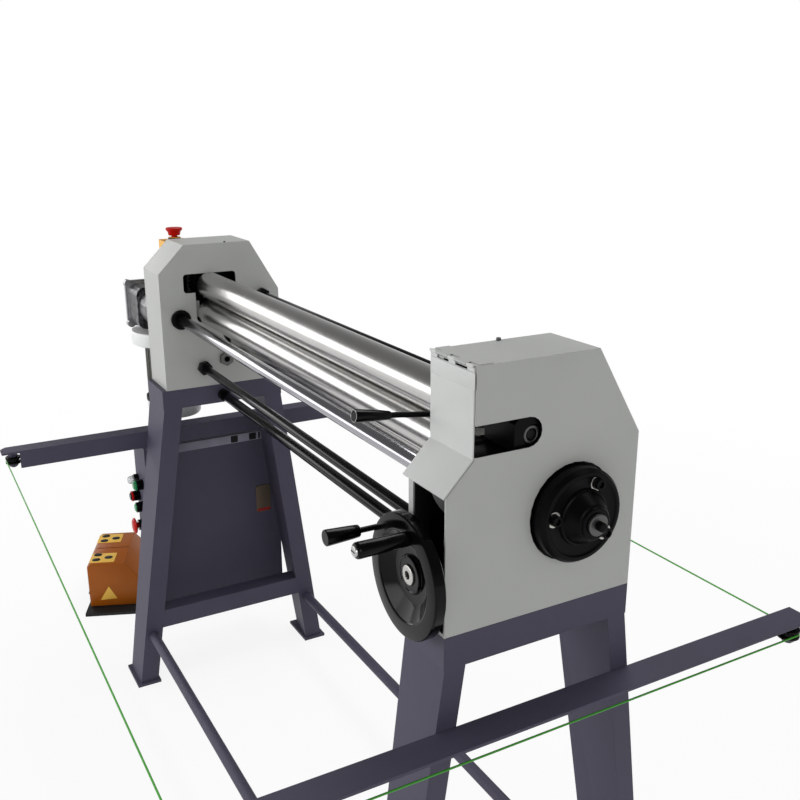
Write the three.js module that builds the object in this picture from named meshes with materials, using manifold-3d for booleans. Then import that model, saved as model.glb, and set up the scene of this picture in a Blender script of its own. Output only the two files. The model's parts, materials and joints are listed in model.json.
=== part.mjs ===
// A motorised three-roll bending machine on two stands, in millimetres, +Z up.
// +X runs along the rolls to the handwheel end, -Y is the operator's side.
// The far end (-X) carries the motor, the gears and the electrical cabinet.

import * as THREE from "three";
import { mergeVertices } from "three/addons/utils/BufferGeometryUtils.js";
import Module from "manifold-3d";

const wasm = await Module();
wasm.setup();

// Driving dimensions: layout
const workingGap = 1264; // between the housings' inner faces
const bed = 851; // height of the stands, where the housings sit
const fit = 0.3; // clearance between pieces that touch or run together
const nearWidth = 110;
const farWidth = 140;

// Near housing, with depths from the machine's centre plane and heights above the bed
const nearDepth = 163;
const nearNoseHeight = 202;
const nearThroatHeight = 248;
const nearRoofFront = 119;
const nearRoofRear = 82;
const nearShoulderHeight = 243;
const nearHeight = 375;
const coverOverhang = 13; // roof and flap stand proud of the inner plate
const innerPlate = 17;
const outerPlate = 3; // a cover sheet
const strap = 6; // roof, rear and bottom straps
const earRadius = 48; // rounded ear on the nose's outer corner
const earRise = 30; // its centre above the nose
const earThickness = 3;
const seatWidth = 15; // walls that carry the handwheel's shaft
const frontSeatY = -150;
const rearSeatY = 115;
const seatRise = 18; // top of those walls above the shaft
const railFront = 114;
const railRear = 20;

// Flap and hinge
const flapSheet = 2;
const hingeKnuckle = 2.3;
const hingePin = 1;
const hingeSink = 0.8; // hinge axis below the roof
const flapKnuckle = 17; // width of the flap's three knuckles
const roofKnuckle = 28; // width of the roof's two knuckles
const knuckles = 5;
const hingeLeaf = 27; // depth of the leaf on the roof
const leafThickness = 1.2;
const hingeRelief = 5; // clearance cut behind and below a knuckle

// Far housing
const farFront = 151;
const farRear = 166;
const farHeight = 371;
const farRoofFront = 83;
const farRoofRear = 91;
const farFrontShoulder = 302;
const farRearShoulder = 242;
const farPlate = 12;
const swingSlotFront = 89; // opening in the far plate for the top roll
const swingSlotRear = 49;
const liftSlotHalf = 35; // and below it for the lower roll
const farBack = 8; // thickness of the removable back plate

// Rolls
const rollRadius = 33.65;
const rollEndGap = 7; // from a roll's end face to the far housing
const journalRadius = 15;
const topJournalPast = 42; // length of the top roll beyond its gear
const topEndRadius = 11.5;
const topRollY = -23;
const topRollHeight = 266;
const lowerRollY = -24;
const rollNip = 2.7; // gap between the top and lower rolls at rest
const pinchLift = 1.5; // how far the lower roll rises

// Rear roll in its eccentric carriers
const carrierY = 47;
const carrierHeight = 143;
const carrierThrow = 20;
const carrierRestAngle = -64;
const carrierRadius = 58;
const wormWheelRadius = 52;
const carrierWaist = 45;
const carrierNeck = 50;
const carrierPocket = 18; // radius of the rear roll's near journal
const farCarrierRadius = 40;
const farCarrierFlange = 48;
const farRearJournal = 14;
const bearingRingRadius = 80;
const hubHoleRadius = 73.5;
const hubRadius = 70;
const hubLip = 6;
const hubFace = 26; // how far the hub stands out of the near housing
const hubConeRadius = 40;
const hubBossRadius = 23;
const hubBossLength = 27;
const noseRadius = 16;
const noseLength = 5;
const noseBoltRadius = 6.5;
const noseBoltLength = 10;
const hubScrewCircle = 51;
const hubScrewRadius = 8;
const hubScrewHead = 7;
const hubScrewAngles = [173, 64, -38];

// Handwheel and worm
const wheelX = 681;
const wheelHeight = 74;
const wheelRadius = 90;
const wheelRimWidth = 20;
const wheelRimDepth = 19;
const wheelFace = 195; // distance of the rim's face from the centre plane
const wheelHubRadius = 27;
const wheelDish = 12;
const shaftRadius = 10;
const wormRadius = 16;
const wormLength = 60;
const handleX = 17; // handle axis from the wheel axis
const handleZ = 64;
const handleRadius = 11.6;
const handleRootRadius = 10.4;
const handleLength = 78;
const handlePinRadius = 4;
const handleCapRadius = 6.5;
const handleCapLength = 3;

// Levers
const upperLeverX = 612;
const upperPinY = -80;
const upperPinHeight = 271;
const upperLeverAngle = 7.6; // degrees above level, towards the front
const upperRodLength = 120;
const lowerLeverX = 594;
const lowerPinY = -125;
const lowerPinHeight = 112;
const lowerLeverAngle = 0.4;
const lowerRodLength = 116;
const leverHubRadius = 12;
const leverHubWidth = 21;
const leverRodRadius = 4.2;
const upperGripLength = 56;
const upperGripRoot = 6.3;
const upperGripEnd = 9.5;
const lowerGripLength = 53;
const lowerGripRoot = 9.2;
const lowerGripEnd = 12;
const gripOverlap = 25; // how far a rod reaches into its grip
const leverShaftRadius = 9;
const camRadius = 13;
const camThrow = 2.4;

// Bearing blocks
const topBlockHalf = 30;
const topBlockRise = 29;
const lowerBlockHalf = 23;
const blockGap = 3.5; // side play of a block that swings
const railThickness = 7.7;
const slotHalf = 21.5;
const slotRearY = -11.6;
const slotRise = 7.5; // slot's middle above the top roll
const bearingPlayFar = 3.5;
const farGuideWidth = 14;
const nearGuideWidth = 9;

// Gears
const rollTeeth = 20;
const driveTeeth = 22;
const gearModule = 3.5;
const gearWidth = 22;
const gearSetback = 24; // from the far plate's rear face to the gears
const toothAddendum = 2;
const toothDedendum = 5.5;
const toothShare = 0.32; // part of the tooth pitch that is tooth
const toothFoot = 1.35; // width at the root, as a share of that
const toothCrest = 0.7;
const driveAngle = 191.6; // where the drive shaft lies, seen from the lower roll

// Gear motor
const driveShaftRadius = 14;
const tubeRadius = 55;
const tubeLength = 83;
const gearboxLength = 113;
const gearboxHalf = 64;
const gearboxDrop = 5; // its middle below the drive shaft
const gearboxNeck = 42;
const wormOffset = 41;
const motorBack = 148; // motor axis from the far housing's outer face
const motorFlangeRadius = 105;
const motorFlangeTop = 104;
const motorFlangeDepth = 40;
const motorRadius = 71;
const motorFinDepth = 5;
const motorFins = 18;
const motorBodyLength = 154;
const motorBandLength = 12;
const fanCoverRadius = 77;
const fanCoverLength = 46;
const fanInlet = 46; // radius of the air inlet

// Tie rods and front bar, with depths from the centre plane and heights above the bed
const frontRodY = -49;
const frontRodHeight = 51;
const frontRodRadius = 10.5;
const rearRodY = 118;
const rearRodHeight = 229;
const rearRodRadius = 10;
const lowRodY = -2;
const lowRodDrop = 28;
const lowRodRadius = 12;
const lowBossRadius = 15;
const lowBossLength = 20;
const rodNutFlats = 33;
const rodNutHeight = 16;
const barY = -102;
const barHeight = 183.6;
const barRadius = 13.3;
const barFlangeRadius = 25;
const barFlangeThickness = 10;
const bushY = 12;
const bushHeight = 68;
const bushFlats = 33;
const bushBore = 8;
const bushLength = 9;
const rodSeat = 10; // how deep a rod enters the plate that holds it

// Stands
const beamDepth = 163;
const beamHeight = 50;
const standWall = 5;
const legTopDepth = 161.5;
const legSplay = 0.143;
const legThickness = 48; // on the side that faces the rolls
const legBackThickness = 34;
const legTaper = 35; // how much narrower a leg is at the floor
const crossBottom = 168;
const crossHeight = 51;
const crossWidth = 50;
const footLength = 64;
const footInset = 7; // footplate proud of the leg
const footThickness = 8;
const tieTubeRadius = 13;
const tieTubeHeight = 150;

// Trip wire on two cross arms
const armTop = 706;
const armLeg = 50;
const armDrop = 46;
const armWall = 5;
const armReach = 548;
const armClip = 14;
const armWebInset = 43; // from the arm's end to its web
const pulleyInset = 28; // from the arm's end to a pulley's axis
const pulleyRadius = 19;
const pulleyGroove = 15;
const pulleyHeight = 18;
const pulleyDrop = 28; // pulley centre below the arm's top
const studRadius = 5;
const studNutFlats = 19;
const studNutHeight = 7;
const wireRadius = 1.6;

// Cabinet
const cabinetDepth = 116;
const cabinetFront = -190;
const cabinetRear = 200;
const cabinetBottom = 165;
const cabinetTop = 655;
const cabinetWall = 3;
const doorThickness = 3;
const plateWidth = 45;
const plateHeight = 83;
const plateY = 126.5;
const plateZ = 402;
const plateThickness = 1.5;
const leftColumn = 97; // button columns, from the stand's outer face
const rightColumn = 47;
const buttonRows = [537, 471];
const leftRows = [487, 395];
const bezelRadius = 14.5;
const bezelLength = 10;
const capRadius = 11;
const capLength = 12;
const stemRadius = 8;
const buttonTravel = 5;
const mushroomRadius = 20;

// Emergency stop box on the far housing
const stopBoxWidth = 74;
const stopBoxFront = -88;
const stopBoxDepth = 70;
const stopBoxBottom = 288;
const stopBoxHeight = 75;
const stopCollarRadius = 16;
const stopCollarHeight = 8;
const stopHeadRadius = 22;
const stopHeadHeight = 20;
const stopStem = 8;

// Foot pedal on the floor
const pedalX = -1175;
const pedalY = -308;
const pedalTurn = -22.3;
const hoodWidth = 240;
const hoodDepth = 190;
const hoodHeight = 160;
const hoodRoof = 117;
const hoodRearHeight = 75;
const hoodWall = 5;
const baseThickness = 10;
const baseOverhang = 45;
const baseMargin = 8;
const treadleWidth = 96;
const treadleLength = 135;
const treadleThickness = 8;
const treadleRise = 22; // axle above the base
const treadleTilt = 9;
const lugThickness = 3;
const axleRadius = 3;
const treadleReach = 6; // how far a treadle stands out of the hood

// Derived places
const nearInner = workingGap / 2;
const nearOuter = nearInner + nearWidth;
const nearPlateIn = nearInner + coverOverhang;
const nearPlateOut = nearPlateIn + innerPlate;
const nearCavityOut = nearOuter - outerPlate;
const farInner = -workingGap / 2;
const farOuter = farInner - farWidth;
const farPlateOut = farInner - farPlate;
const farBackIn = farOuter + farBack;
const topRollZ = bed + topRollHeight;
const lowerRollZ = topRollZ - 2 * rollRadius - rollNip;
const carrierZ = bed + carrierHeight;
const rearRollY = carrierY + carrierThrow * Math.cos(THREE.MathUtils.degToRad(carrierRestAngle));
const rearRollZ = carrierZ + carrierThrow * Math.sin(THREE.MathUtils.degToRad(carrierRestAngle));
const wheelZ = bed + wheelHeight;
const rollEnd = -farInner - rollEndGap;
const gearOut = farPlateOut - gearSetback;
const gearIn = gearOut - gearWidth;
const gearMiddle = (gearOut + gearIn) / 2;
const driveDistance = (gearModule * (rollTeeth + driveTeeth)) / 2;
const driveY = lowerRollY + driveDistance * Math.cos(THREE.MathUtils.degToRad(driveAngle));
const driveZ = lowerRollZ + driveDistance * Math.sin(THREE.MathUtils.degToRad(driveAngle));
const motorX = farOuter - motorBack;
const motorY = driveY + wormOffset;
const driveEnd = farOuter - tubeLength - gearboxLength / 2;
const pulleyZ = armTop - pulleyDrop;
const pulleyReach = armReach - pulleyInset;
const armWebReach = armReach - armWebInset;
const upperPinZ = bed + upperPinHeight;
const lowerPinZ = bed + lowerPinHeight;

// Materials
function paint(color, roughness, metalness) {
  return new THREE.MeshStandardMaterial({ color, roughness, metalness });
}
const greyPaint = paint(0x9fa09e, 0.55, 0.1);
const flapPaint = paint(0xc3c5c4, 0.5, 0.1);
const slatePaint = paint(0x41404e, 0.6, 0.1);
const chrome = paint(0xcfcfcf, 0.15, 1);
const steel = paint(0x9a9a98, 0.35, 1);
const blackOxide = paint(0x17171a, 0.4, 0.6);
const blackPlastic = paint(0x121214, 0.35, 0);
const castAluminium = paint(0x8f9294, 0.45, 0.8);
const motorPaint = paint(0x6f6f6c, 0.6, 0.2);
const fanPaint = paint(0xd9dbdc, 0.5, 0.1);
const yellowPlastic = paint(0xe0a81e, 0.45, 0);
const redPlastic = paint(0xc3241b, 0.4, 0);
const greenPlastic = paint(0x1f8a4c, 0.4, 0);
const clearPlastic = paint(0xd5d9d8, 0.2, 0);
const orangePaint = paint(0xb0702a, 0.5, 0.1);
const greenWire = paint(0x3f8f3a, 0.5, 0);
const platePaint = paint(0x8d8a80, 0.4, 0.5);

// Solids: each helper returns a closed body that can be joined or cut
const radians = THREE.MathUtils.degToRad;
const sides = 20;
const fewSides = 12; // small round bodies
const manySides = 28; // rolls and hubs

function closed(geometry) {
  geometry.deleteAttribute("normal");
  geometry.deleteAttribute("uv");
  const merged = mergeVertices(geometry, 1e-4);
  const index = merged.index.array;
  const triangles = [];
  for (let i = 0; i < index.length; i += 3) {
    const corner = [index[i], index[i + 1], index[i + 2]];
    if (new Set(corner).size === 3) triangles.push(...corner);
  }
  const points = merged.attributes.position.array;
  if (signedVolume(points, triangles) < 0) triangles.reverse();
  const mesh = new wasm.Mesh({
    numProp: 3,
    vertProperties: new Float32Array(points),
    triVerts: new Uint32Array(triangles),
  });
  return new wasm.Manifold(mesh);
}

function signedVolume(points, triangles) {
  const corner = (i) => new THREE.Vector3().fromArray(points, triangles[i] * 3);
  let volume = 0;
  for (let i = 0; i < triangles.length; i += 3)
    volume += corner(i).dot(corner(i + 1).cross(corner(i + 2)));
  return volume;
}

// Turns a shape drawn in three.js's own axes so that its axis lies along x, y or z
function alongAxis(axis) {
  const basis = new THREE.Matrix4();
  const [ex, ey, ez] = [[1, 0, 0], [0, 1, 0], [0, 0, 1]].map((v) => new THREE.Vector3(...v));
  if (axis === "x") basis.makeBasis(ey, ez, ex);
  if (axis === "y") basis.makeBasis(ez, ex, ey);
  if (axis === "z") basis.makeBasis(ex, ey, ez);
  return basis;
}

// Adds the centre across an axis: [y, z] for x, [x, z] for y, [x, y] for z
function centred(geometry, axis, [u, v]) {
  const places = { x: [0, u, v], y: [u, 0, v], z: [u, v, 0] };
  return geometry.translate(...places[axis]);
}

function box([x0, x1], [y0, y1], [z0, z1]) {
  const [dx, dy, dz] = [Math.abs(x1 - x0), Math.abs(y1 - y0), Math.abs(z1 - z0)];
  const geometry = new THREE.BoxGeometry(dx, dy, dz);
  return closed(geometry.translate((x0 + x1) / 2, (y0 + y1) / 2, (z0 + z1) / 2));
}

// A straight-sided body: the outline is [y, z] points along x, [x, z] along y, [x, y] along z
function prism(axis, outline, [a0, a1]) {
  const points = outline.map(([u, v]) => (axis === "y" ? [v, u] : [u, v]));
  const shape = new THREE.Shape(points.map(([u, v]) => new THREE.Vector2(u, v)));
  const depth = Math.abs(a1 - a0);
  const geometry = new THREE.ExtrudeGeometry(shape, { depth, bevelEnabled: false });
  geometry.translate(0, 0, Math.min(a0, a1)).applyMatrix4(alongAxis(axis));
  return closed(geometry);
}

// A span given by two places in either order, and one given by its middle
function between(a, b) {
  return [Math.min(a, b), Math.max(a, b)];
}

function about(middle, half) {
  return [middle - half, middle + half];
}

// A span made smaller at both ends
function within([start, end], gap) {
  return [start + gap, end - gap];
}

function rod(axis, radius, [a0, a1], centre, count = sides) {
  return turned(axis, [[0, a0], [radius, a0], [radius, a1], [0, a1]], centre, count);
}

// A turned body: the profile is [radius, place along the axis]
function turned(axis, profile, centre, count = sides) {
  const points = profile.map(([r, a]) => new THREE.Vector2(r, a));
  const geometry = new THREE.LatheGeometry(points, count).rotateX(Math.PI / 2);
  return closed(centred(geometry.applyMatrix4(alongAxis(axis)), axis, centre));
}

// Radius of a hole whose flat sides clear a many-sided journal at every turn
function runningBore(journal, count = manySides) {
  return (journal + fit) / Math.cos(Math.PI / count);
}

function hexagon(axis, flats, [a0, a1], centre) {
  return turned(axis, [[0, a0], [flats / Math.sqrt(3), a0], [flats / Math.sqrt(3), a1], [0, a1]], centre, 6);
}

// A six-faced body between two level sections of four [x, y] corners each
function tapered(low, lowZ, high, highZ) {
  const corners = [...low.map(([x, y]) => [x, y, lowZ]), ...high.map(([x, y]) => [x, y, highZ])];
  const geometry = new THREE.BufferGeometry();
  geometry.setAttribute("position", new THREE.Float32BufferAttribute(corners.flat(), 3));
  const quads = [[3, 2, 1, 0], [4, 5, 6, 7], [0, 1, 5, 4], [1, 2, 6, 5], [2, 3, 7, 6], [3, 0, 4, 7]];
  geometry.setIndex(quads.flatMap(([a, b, c, d]) => [a, b, c, a, c, d]));
  return closed(geometry);
}

function joined(...solids) {
  return solids.flat().reduce((whole, next) => whole.add(next));
}

function cut(solid, ...tools) {
  return tools.flat().reduce((rest, tool) => rest.subtract(tool), solid);
}

// Points on an arc, in degrees
function arc(u, v, radius, from, to, steps) {
  return Array.from({ length: steps + 1 }, (_, i) => {
    const angle = radians(from + ((to - from) * i) / steps);
    return [u + radius * Math.cos(angle), v + radius * Math.sin(angle)];
  });
}

function roundedRectangle([u0, u1], [v0, v1], radius, steps = 3) {
  return [
    ...arc(u1 - radius, v1 - radius, radius, 0, 90, steps),
    ...arc(u0 + radius, v1 - radius, radius, 90, 180, steps),
    ...arc(u0 + radius, v0 + radius, radius, 180, 270, steps),
    ...arc(u1 - radius, v0 + radius, radius, 270, 360, steps),
  ];
}

// Moves each edge of an outline inwards by the same distance
function inset(outline, distance) {
  const points = outline.map(([u, v]) => new THREE.Vector2(u, v));
  const turn = Math.sign(THREE.ShapeUtils.area(points));
  const count = points.length;
  const edges = points.map((point, i) => {
    const along = points[(i + 1) % count].clone().sub(point).normalize();
    const inward = new THREE.Vector2(-along.y, along.x).multiplyScalar(turn * distance);
    return { point: point.clone().add(inward), along };
  });
  return edges.map((edge, i) => {
    const before = edges[(i + count - 1) % count];
    const gap = edge.point.clone().sub(before.point);
    const reach = gap.cross(edge.along) / before.along.cross(edge.along);
    return before.point.clone().addScaledVector(before.along, reach).toArray();
  });
}

const machine = new THREE.Group();

function place(name, solid, material, parent = machine) {
  const { vertProperties, triVerts } = solid.getMesh();
  const geometry = new THREE.BufferGeometry();
  geometry.setAttribute("position", new THREE.BufferAttribute(new Float32Array(vertProperties), 3));
  geometry.setIndex(new THREE.BufferAttribute(new Uint32Array(triVerts), 1));
  geometry.computeVertexNormals();
  const mesh = new THREE.Mesh(geometry, material);
  mesh.name = name;
  parent.add(mesh);
  return mesh;
}

// A group at a joint or a seat, so that its pieces are drawn round their own axis
function groupAt(x, y, z, parent = machine) {
  const group = new THREE.Group();
  group.position.set(x, y, z);
  parent.add(group);
  return group;
}

// Stands
function stand(inner, outer, tieSide) {
  const out = Math.sign(outer);
  const top = bed;
  const beamBottom = bed - beamHeight;
  const across = [Math.min(inner, outer), Math.max(inner, outer)];
  const hollow = [across[0] + standWall, across[1] - standWall];
  const channel = cut(
    box(across, [-beamDepth, beamDepth], [beamBottom, top]),
    box(hollow, [-beamDepth + standWall, beamDepth - standWall], [beamBottom - 1, top - standWall]),
    rod("x", lowRodRadius + fit, [inner - out, inner + out * (standWall + 1)], [lowRodY, bed - lowRodDrop]),
  );
  const legEdge = (z) => legTopDepth + legSplay * (beamBottom - z);
  const innerEdge = (z) => inner + (out * legTaper * (beamBottom - z)) / beamBottom;
  const section = (z, side, wall) => [
    [innerEdge(z) + out * wall, side * (legEdge(z) - wall)],
    [outer - out * wall, side * (legEdge(z) - wall)],
    [outer - out * wall, side * (legEdge(z) - legBackThickness + wall)],
    [innerEdge(z) + out * wall, side * (legEdge(z) - legThickness + wall)],
  ];
  const leg = (side, wall, low, high) =>
    tapered(section(low, side, wall), low, section(high, side, wall), high);
  const legs = [-1, 1].map((side) => leg(side, 0, 0, beamBottom));
  const bores = [-1, 1].map((side) => leg(side, standWall, footThickness, beamBottom + 1));
  const feet = [-1, 1].map((side) => {
    const heel = side * (legEdge(0) - legThickness - footInset);
    const wide = [innerEdge(0) - out * footInset, outer + out * footInset];
    return box(wide, between(heel, heel + side * footLength), [0, footThickness]);
  });
  const crossMiddle = crossBottom + crossHeight / 2;
  const crossInner = innerEdge(crossMiddle);
  const crossHalf = legEdge(crossMiddle) - legThickness + standWall;
  const crossTop = crossBottom + crossHeight;
  const crossSpan = [-crossHalf, crossHalf];
  const cross = joined(
    box([crossInner, crossInner + out * standWall], crossSpan, [crossBottom, crossTop]),
    box([crossInner, crossInner + out * crossWidth], crossSpan, [crossTop - standWall, crossTop]),
  );
  const tieHoles = [-1, 1].map((side) => {
    const y = side * (legEdge(tieTubeHeight) - legThickness / 2);
    const through = about(innerEdge(tieTubeHeight), legTaper);
    return rod("x", tieTubeRadius + fit, through, [y, tieTubeHeight], fewSides);
  });
  return cut(joined(channel, legs, feet, cross), bores, tieHoles);
}

function tieTube(side) {
  const edge = legTopDepth + legSplay * (bed - beamHeight - tieTubeHeight);
  const y = side * (edge - legThickness / 2);
  const seat = nearInner + legTaper;
  return rod("x", tieTubeRadius, [-seat, seat], [y, tieTubeHeight], fewSides);
}

// Near housing: a thick inner plate, an outer plate and straps round three sides
const nearOutline = [
  [-nearDepth, bed + fit],
  [-nearDepth, bed + nearNoseHeight],
  [-nearRoofFront, bed + nearThroatHeight],
  [-nearRoofFront, bed + nearHeight],
  [nearRoofRear, bed + nearHeight],
  [nearDepth, bed + nearShoulderHeight],
  [nearDepth, bed + fit],
];
const farOutline = [
  [-farFront, bed + fit],
  [-farFront, bed + farFrontShoulder],
  [-farRoofFront, bed + farHeight],
  [farRoofRear, bed + farHeight],
  [farRear, bed + farRearShoulder],
  [farRear, bed + fit],
];

// A slot that is open to the front and has a round rear end
function openSlot(z, half, rearY, frontY) {
  const middle = rearY - half;
  return [[frontY, z - half], ...arc(middle, z, half, -90, 90, 8), [frontY, z + half]];
}

const slotZ = topRollZ + slotRise;
const railInner = [nearPlateOut, nearCavityOut];
const hingeY = -nearRoofFront - hingeKnuckle - fit;
const hingeZ = bed + nearHeight - hingeSink;
const hingeEnd = nearInner + 3 * flapKnuckle + 2 * roofKnuckle;
const flapSpans = [];
const roofSpans = [];
for (let i = 0, start = nearInner; i < knuckles; i++) {
  const width = i % 2 ? roofKnuckle : flapKnuckle;
  (i % 2 ? roofSpans : flapSpans).push([start, start + width]);
  start += width;
}


function nearHousing() {
  const roof = bed + nearHeight;
  const shell = joined(
    prism("x", nearOutline, [nearPlateIn, nearOuter]),
    box([nearInner, nearPlateIn + 1], [-nearRoofFront, nearRoofRear], [roof - strap, roof]),
  );
  const cavity = prism("x", inset(nearOutline, strap), [nearPlateOut, nearCavityOut]);
  const mouth = box(railInner, [-nearDepth - 1, -nearRoofFront + strap + 1], [bed + strap, roof - strap]);
  const plateSpan = [nearPlateIn - 1, nearPlateOut + 1];
  const holes = [
    prism("x", openSlot(topRollZ, 24, 5, -nearDepth - 1), plateSpan),
    prism("x", openSlot(slotZ, slotHalf, slotRearY, -nearDepth - 1), [nearCavityOut - 1, nearOuter + 1]),
    rod("x", journalRadius + 2 * pinchLift, plateSpan, [lowerRollY, lowerRollZ]),
    rod("x", runningBore(carrierRadius), plateSpan, [carrierY, carrierZ], manySides),
    rod("x", hubHoleRadius, [nearCavityOut - 1, nearOuter + 1], [carrierY, carrierZ], manySides),
    rod("x", frontRodRadius + fit, plateSpan, [frontRodY, bed + frontRodHeight]),
    rod("x", rearRodRadius + fit, plateSpan, [rearRodY, bed + rearRodHeight]),
    rod("x", barRadius + fit, plateSpan, [barY, bed + barHeight]),
    rod("x", leverShaftRadius + fit, plateSpan, [lowerPinY, lowerPinZ]),
  ];
  const blockRoom = topBlockRise + fit;
  const railTop = topRollZ - blockRoom;
  const railSpan = [-railFront, railRear];
  const shelf = box(railInner, railSpan, [railTop - railThickness, railTop]);
  const lid = box(railInner, railSpan, [topRollZ + blockRoom, topRollZ + blockRoom + railThickness]);
  const guideZ = [lowerRollZ - 5, railTop - railThickness];
  const guideX = [nearPlateOut - 1, nearPlateOut + 18];
  const guides = [-1, 1].map((side) => {
    const face = lowerRollY + side * (lowerBlockHalf + fit);
    return box(guideX, between(face, face + side * nearGuideWidth), guideZ);
  });
  const seats = [frontSeatY, rearSeatY].map((start) =>
    cut(
      box(railInner, [start, start + seatWidth], [bed + 1, wheelZ + seatRise]),
      rod("y", shaftRadius + fit, [start - 1, start + seatWidth + 1], [wheelX, wheelZ]),
    ),
  );
  return joined(cut(shell, cavity, mouth, holes), shelf, lid, guides, seats, ear(), roofHinge());
}

// A rounded ear that hangs from the nose's outer corner
function ear() {
  const noseZ = bed + nearNoseHeight;
  const start = 180 + THREE.MathUtils.radToDeg(Math.asin(earRise / earRadius));
  const outline = [[nearOuter, noseZ], ...arc(nearOuter, noseZ + earRise, earRadius, start, 270, 5)];
  return prism("y", outline, [-nearDepth, -nearDepth + earThickness]);
}

// The roof's half of the hinge: a thin leaf with two knuckles, and the pin
function roofHinge() {
  const roof = bed + nearHeight;
  const leafTop = roof + leafThickness;
  const leaf = box([nearInner, hingeEnd], [-nearRoofFront, -nearRoofFront + hingeLeaf], [roof - 1, leafTop]);
  const reliefs = flapSpans.map(([start, end]) =>
    box([start - 1, end + 1], [-nearRoofFront - 1, -nearRoofFront + hingeRelief], [roof, leafTop + 1]),
  );
  const curls = roofSpans.map((span) =>
    joined(
      rod("x", hingeKnuckle, within(span, fit), [hingeY, hingeZ], fewSides),
      box(within(span, fit), [hingeY, -nearRoofFront + 1], [roof - hingeSink, leafTop]),
    ),
  );
  const pin = rod("x", hingePin, [nearInner + 1, hingeEnd - 1], [hingeY, hingeZ], 8);
  return joined(cut(leaf, reliefs), curls, pin);
}

// Flap: a folded sheet that hangs in front of the top roll's slot
function flap() {
  const back = -nearRoofFront - fit;
  const front = back - flapSheet;
  const foldZ = bed + nearThroatHeight;
  const lowZ = bed + nearNoseHeight;
  const lowY = -nearDepth - fit;
  const topZ = hingeZ - hingeKnuckle - hingeRelief;
  const outline = [
    [back, foldZ],
    [back, topZ],
    [front, topZ],
    [front, foldZ + 1],
    [lowY - flapSheet, lowZ + 1],
    [lowY - 1, lowZ - 1],
  ];
  const body = prism("x", outline, [nearInner, hingeEnd]);
  const curls = flapSpans.map((span) =>
    joined(
      rod("x", hingeKnuckle, within(span, fit), [hingeY, hingeZ], fewSides),
      box(within(span, fit), [front, back], [topZ - 1, hingeZ]),
    ),
  );
  const bore = rod("x", runningBore(hingePin, 8), [nearInner - 1, nearOuter], [hingeY, hingeZ], 8);
  return cut(joined(body, curls), bore);
}

// Far housing: front plate and straps, closed by a separate back plate
function farHousing() {
  const shell = prism("x", farOutline, [farBackIn + fit, farInner]);
  const cavity = prism("x", inset(farOutline, strap), [farBackIn - 1, farPlateOut]);
  const plateSpan = [farPlateOut - 1, farInner + 1];
  const swingSlot = roundedRectangle([-swingSlotFront, swingSlotRear], [topRollZ - 17, topRollZ + 31], 8);
  const liftSlot = roundedRectangle(about(lowerRollY, liftSlotHalf), [lowerRollZ - 25, topRollZ], 12);
  const opening = joined(prism("x", swingSlot, plateSpan), prism("x", liftSlot, plateSpan));
  const holes = [
    rod("x", runningBore(farCarrierRadius), plateSpan, [carrierY, carrierZ], manySides),
    rod("x", frontRodRadius + fit, plateSpan, [frontRodY, bed + frontRodHeight]),
    rod("x", rearRodRadius + fit, plateSpan, [rearRodY, bed + rearRodHeight]),
    rod("x", barRadius + fit, plateSpan, [barY, bed + barHeight]),
    rod("x", bushBore, plateSpan, [bushY, bed + bushHeight], fewSides),
  ];
  const guides = [-1, 1].map((side) => {
    const face = lowerRollY + side * (lowerBlockHalf + fit);
    const guideX = [farPlateOut - 18, farPlateOut + 1];
    return box(guideX, between(face, face + side * farGuideWidth), [lowerRollZ - 12, lowerRollZ + 30]);
  });
  return joined(cut(shell, cavity, opening, holes), guides);
}

function farBackPlate() {
  const pocketIn = gearIn - 2;
  const playZ = topBlockRise + fit;
  const halfY = lowerBlockHalf + 3 + bearingPlayFar;
  const wall = 9;
  const boss = cut(
    box([farBackIn - 1, pocketIn], about(topRollY, halfY + wall), about(topRollZ, playZ + railThickness)),
    box([pocketIn - 42, pocketIn + 1], about(topRollY, halfY), about(topRollZ, playZ)),
  );
  const plate = prism("x", farOutline, [farOuter, farBackIn]);
  const bore = rod("x", driveShaftRadius + fit, [farOuter - 1, farBackIn + 1], [driveY, driveZ]);
  return cut(joined(plate, boss), bore);
}

// Rods and the bar between the housings
// A tie rod with its two lock nuts against the plates' inner faces
function nuttedRod(radius, y, height) {
  const centre = [y, bed + height];
  const nuts = [farInner + fit, nearPlateIn - fit - rodNutHeight].map((start) =>
    hexagon("x", rodNutFlats, [start, start + rodNutHeight], centre),
  );
  return joined(rod("x", radius, [farInner - rodSeat, nearPlateIn + rodSeat], centre), nuts);
}

function lowRod() {
  const centre = [lowRodY, bed - lowRodDrop];
  const bosses = [farInner + fit, nearInner - fit - lowBossLength].map((start) =>
    rod("x", lowBossRadius, [start, start + lowBossLength], centre),
  );
  const seat = standWall - fit;
  return joined(rod("x", lowRodRadius, [farInner - seat, nearInner + seat], centre), bosses);
}

function barFlange(start) {
  const centre = [barY, bed + barHeight];
  const end = start + barFlangeThickness;
  const bore = rod("x", barRadius + fit, [start - 1, end + 1], centre);
  return cut(rod("x", barFlangeRadius, [start, end], centre), bore);
}

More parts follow.
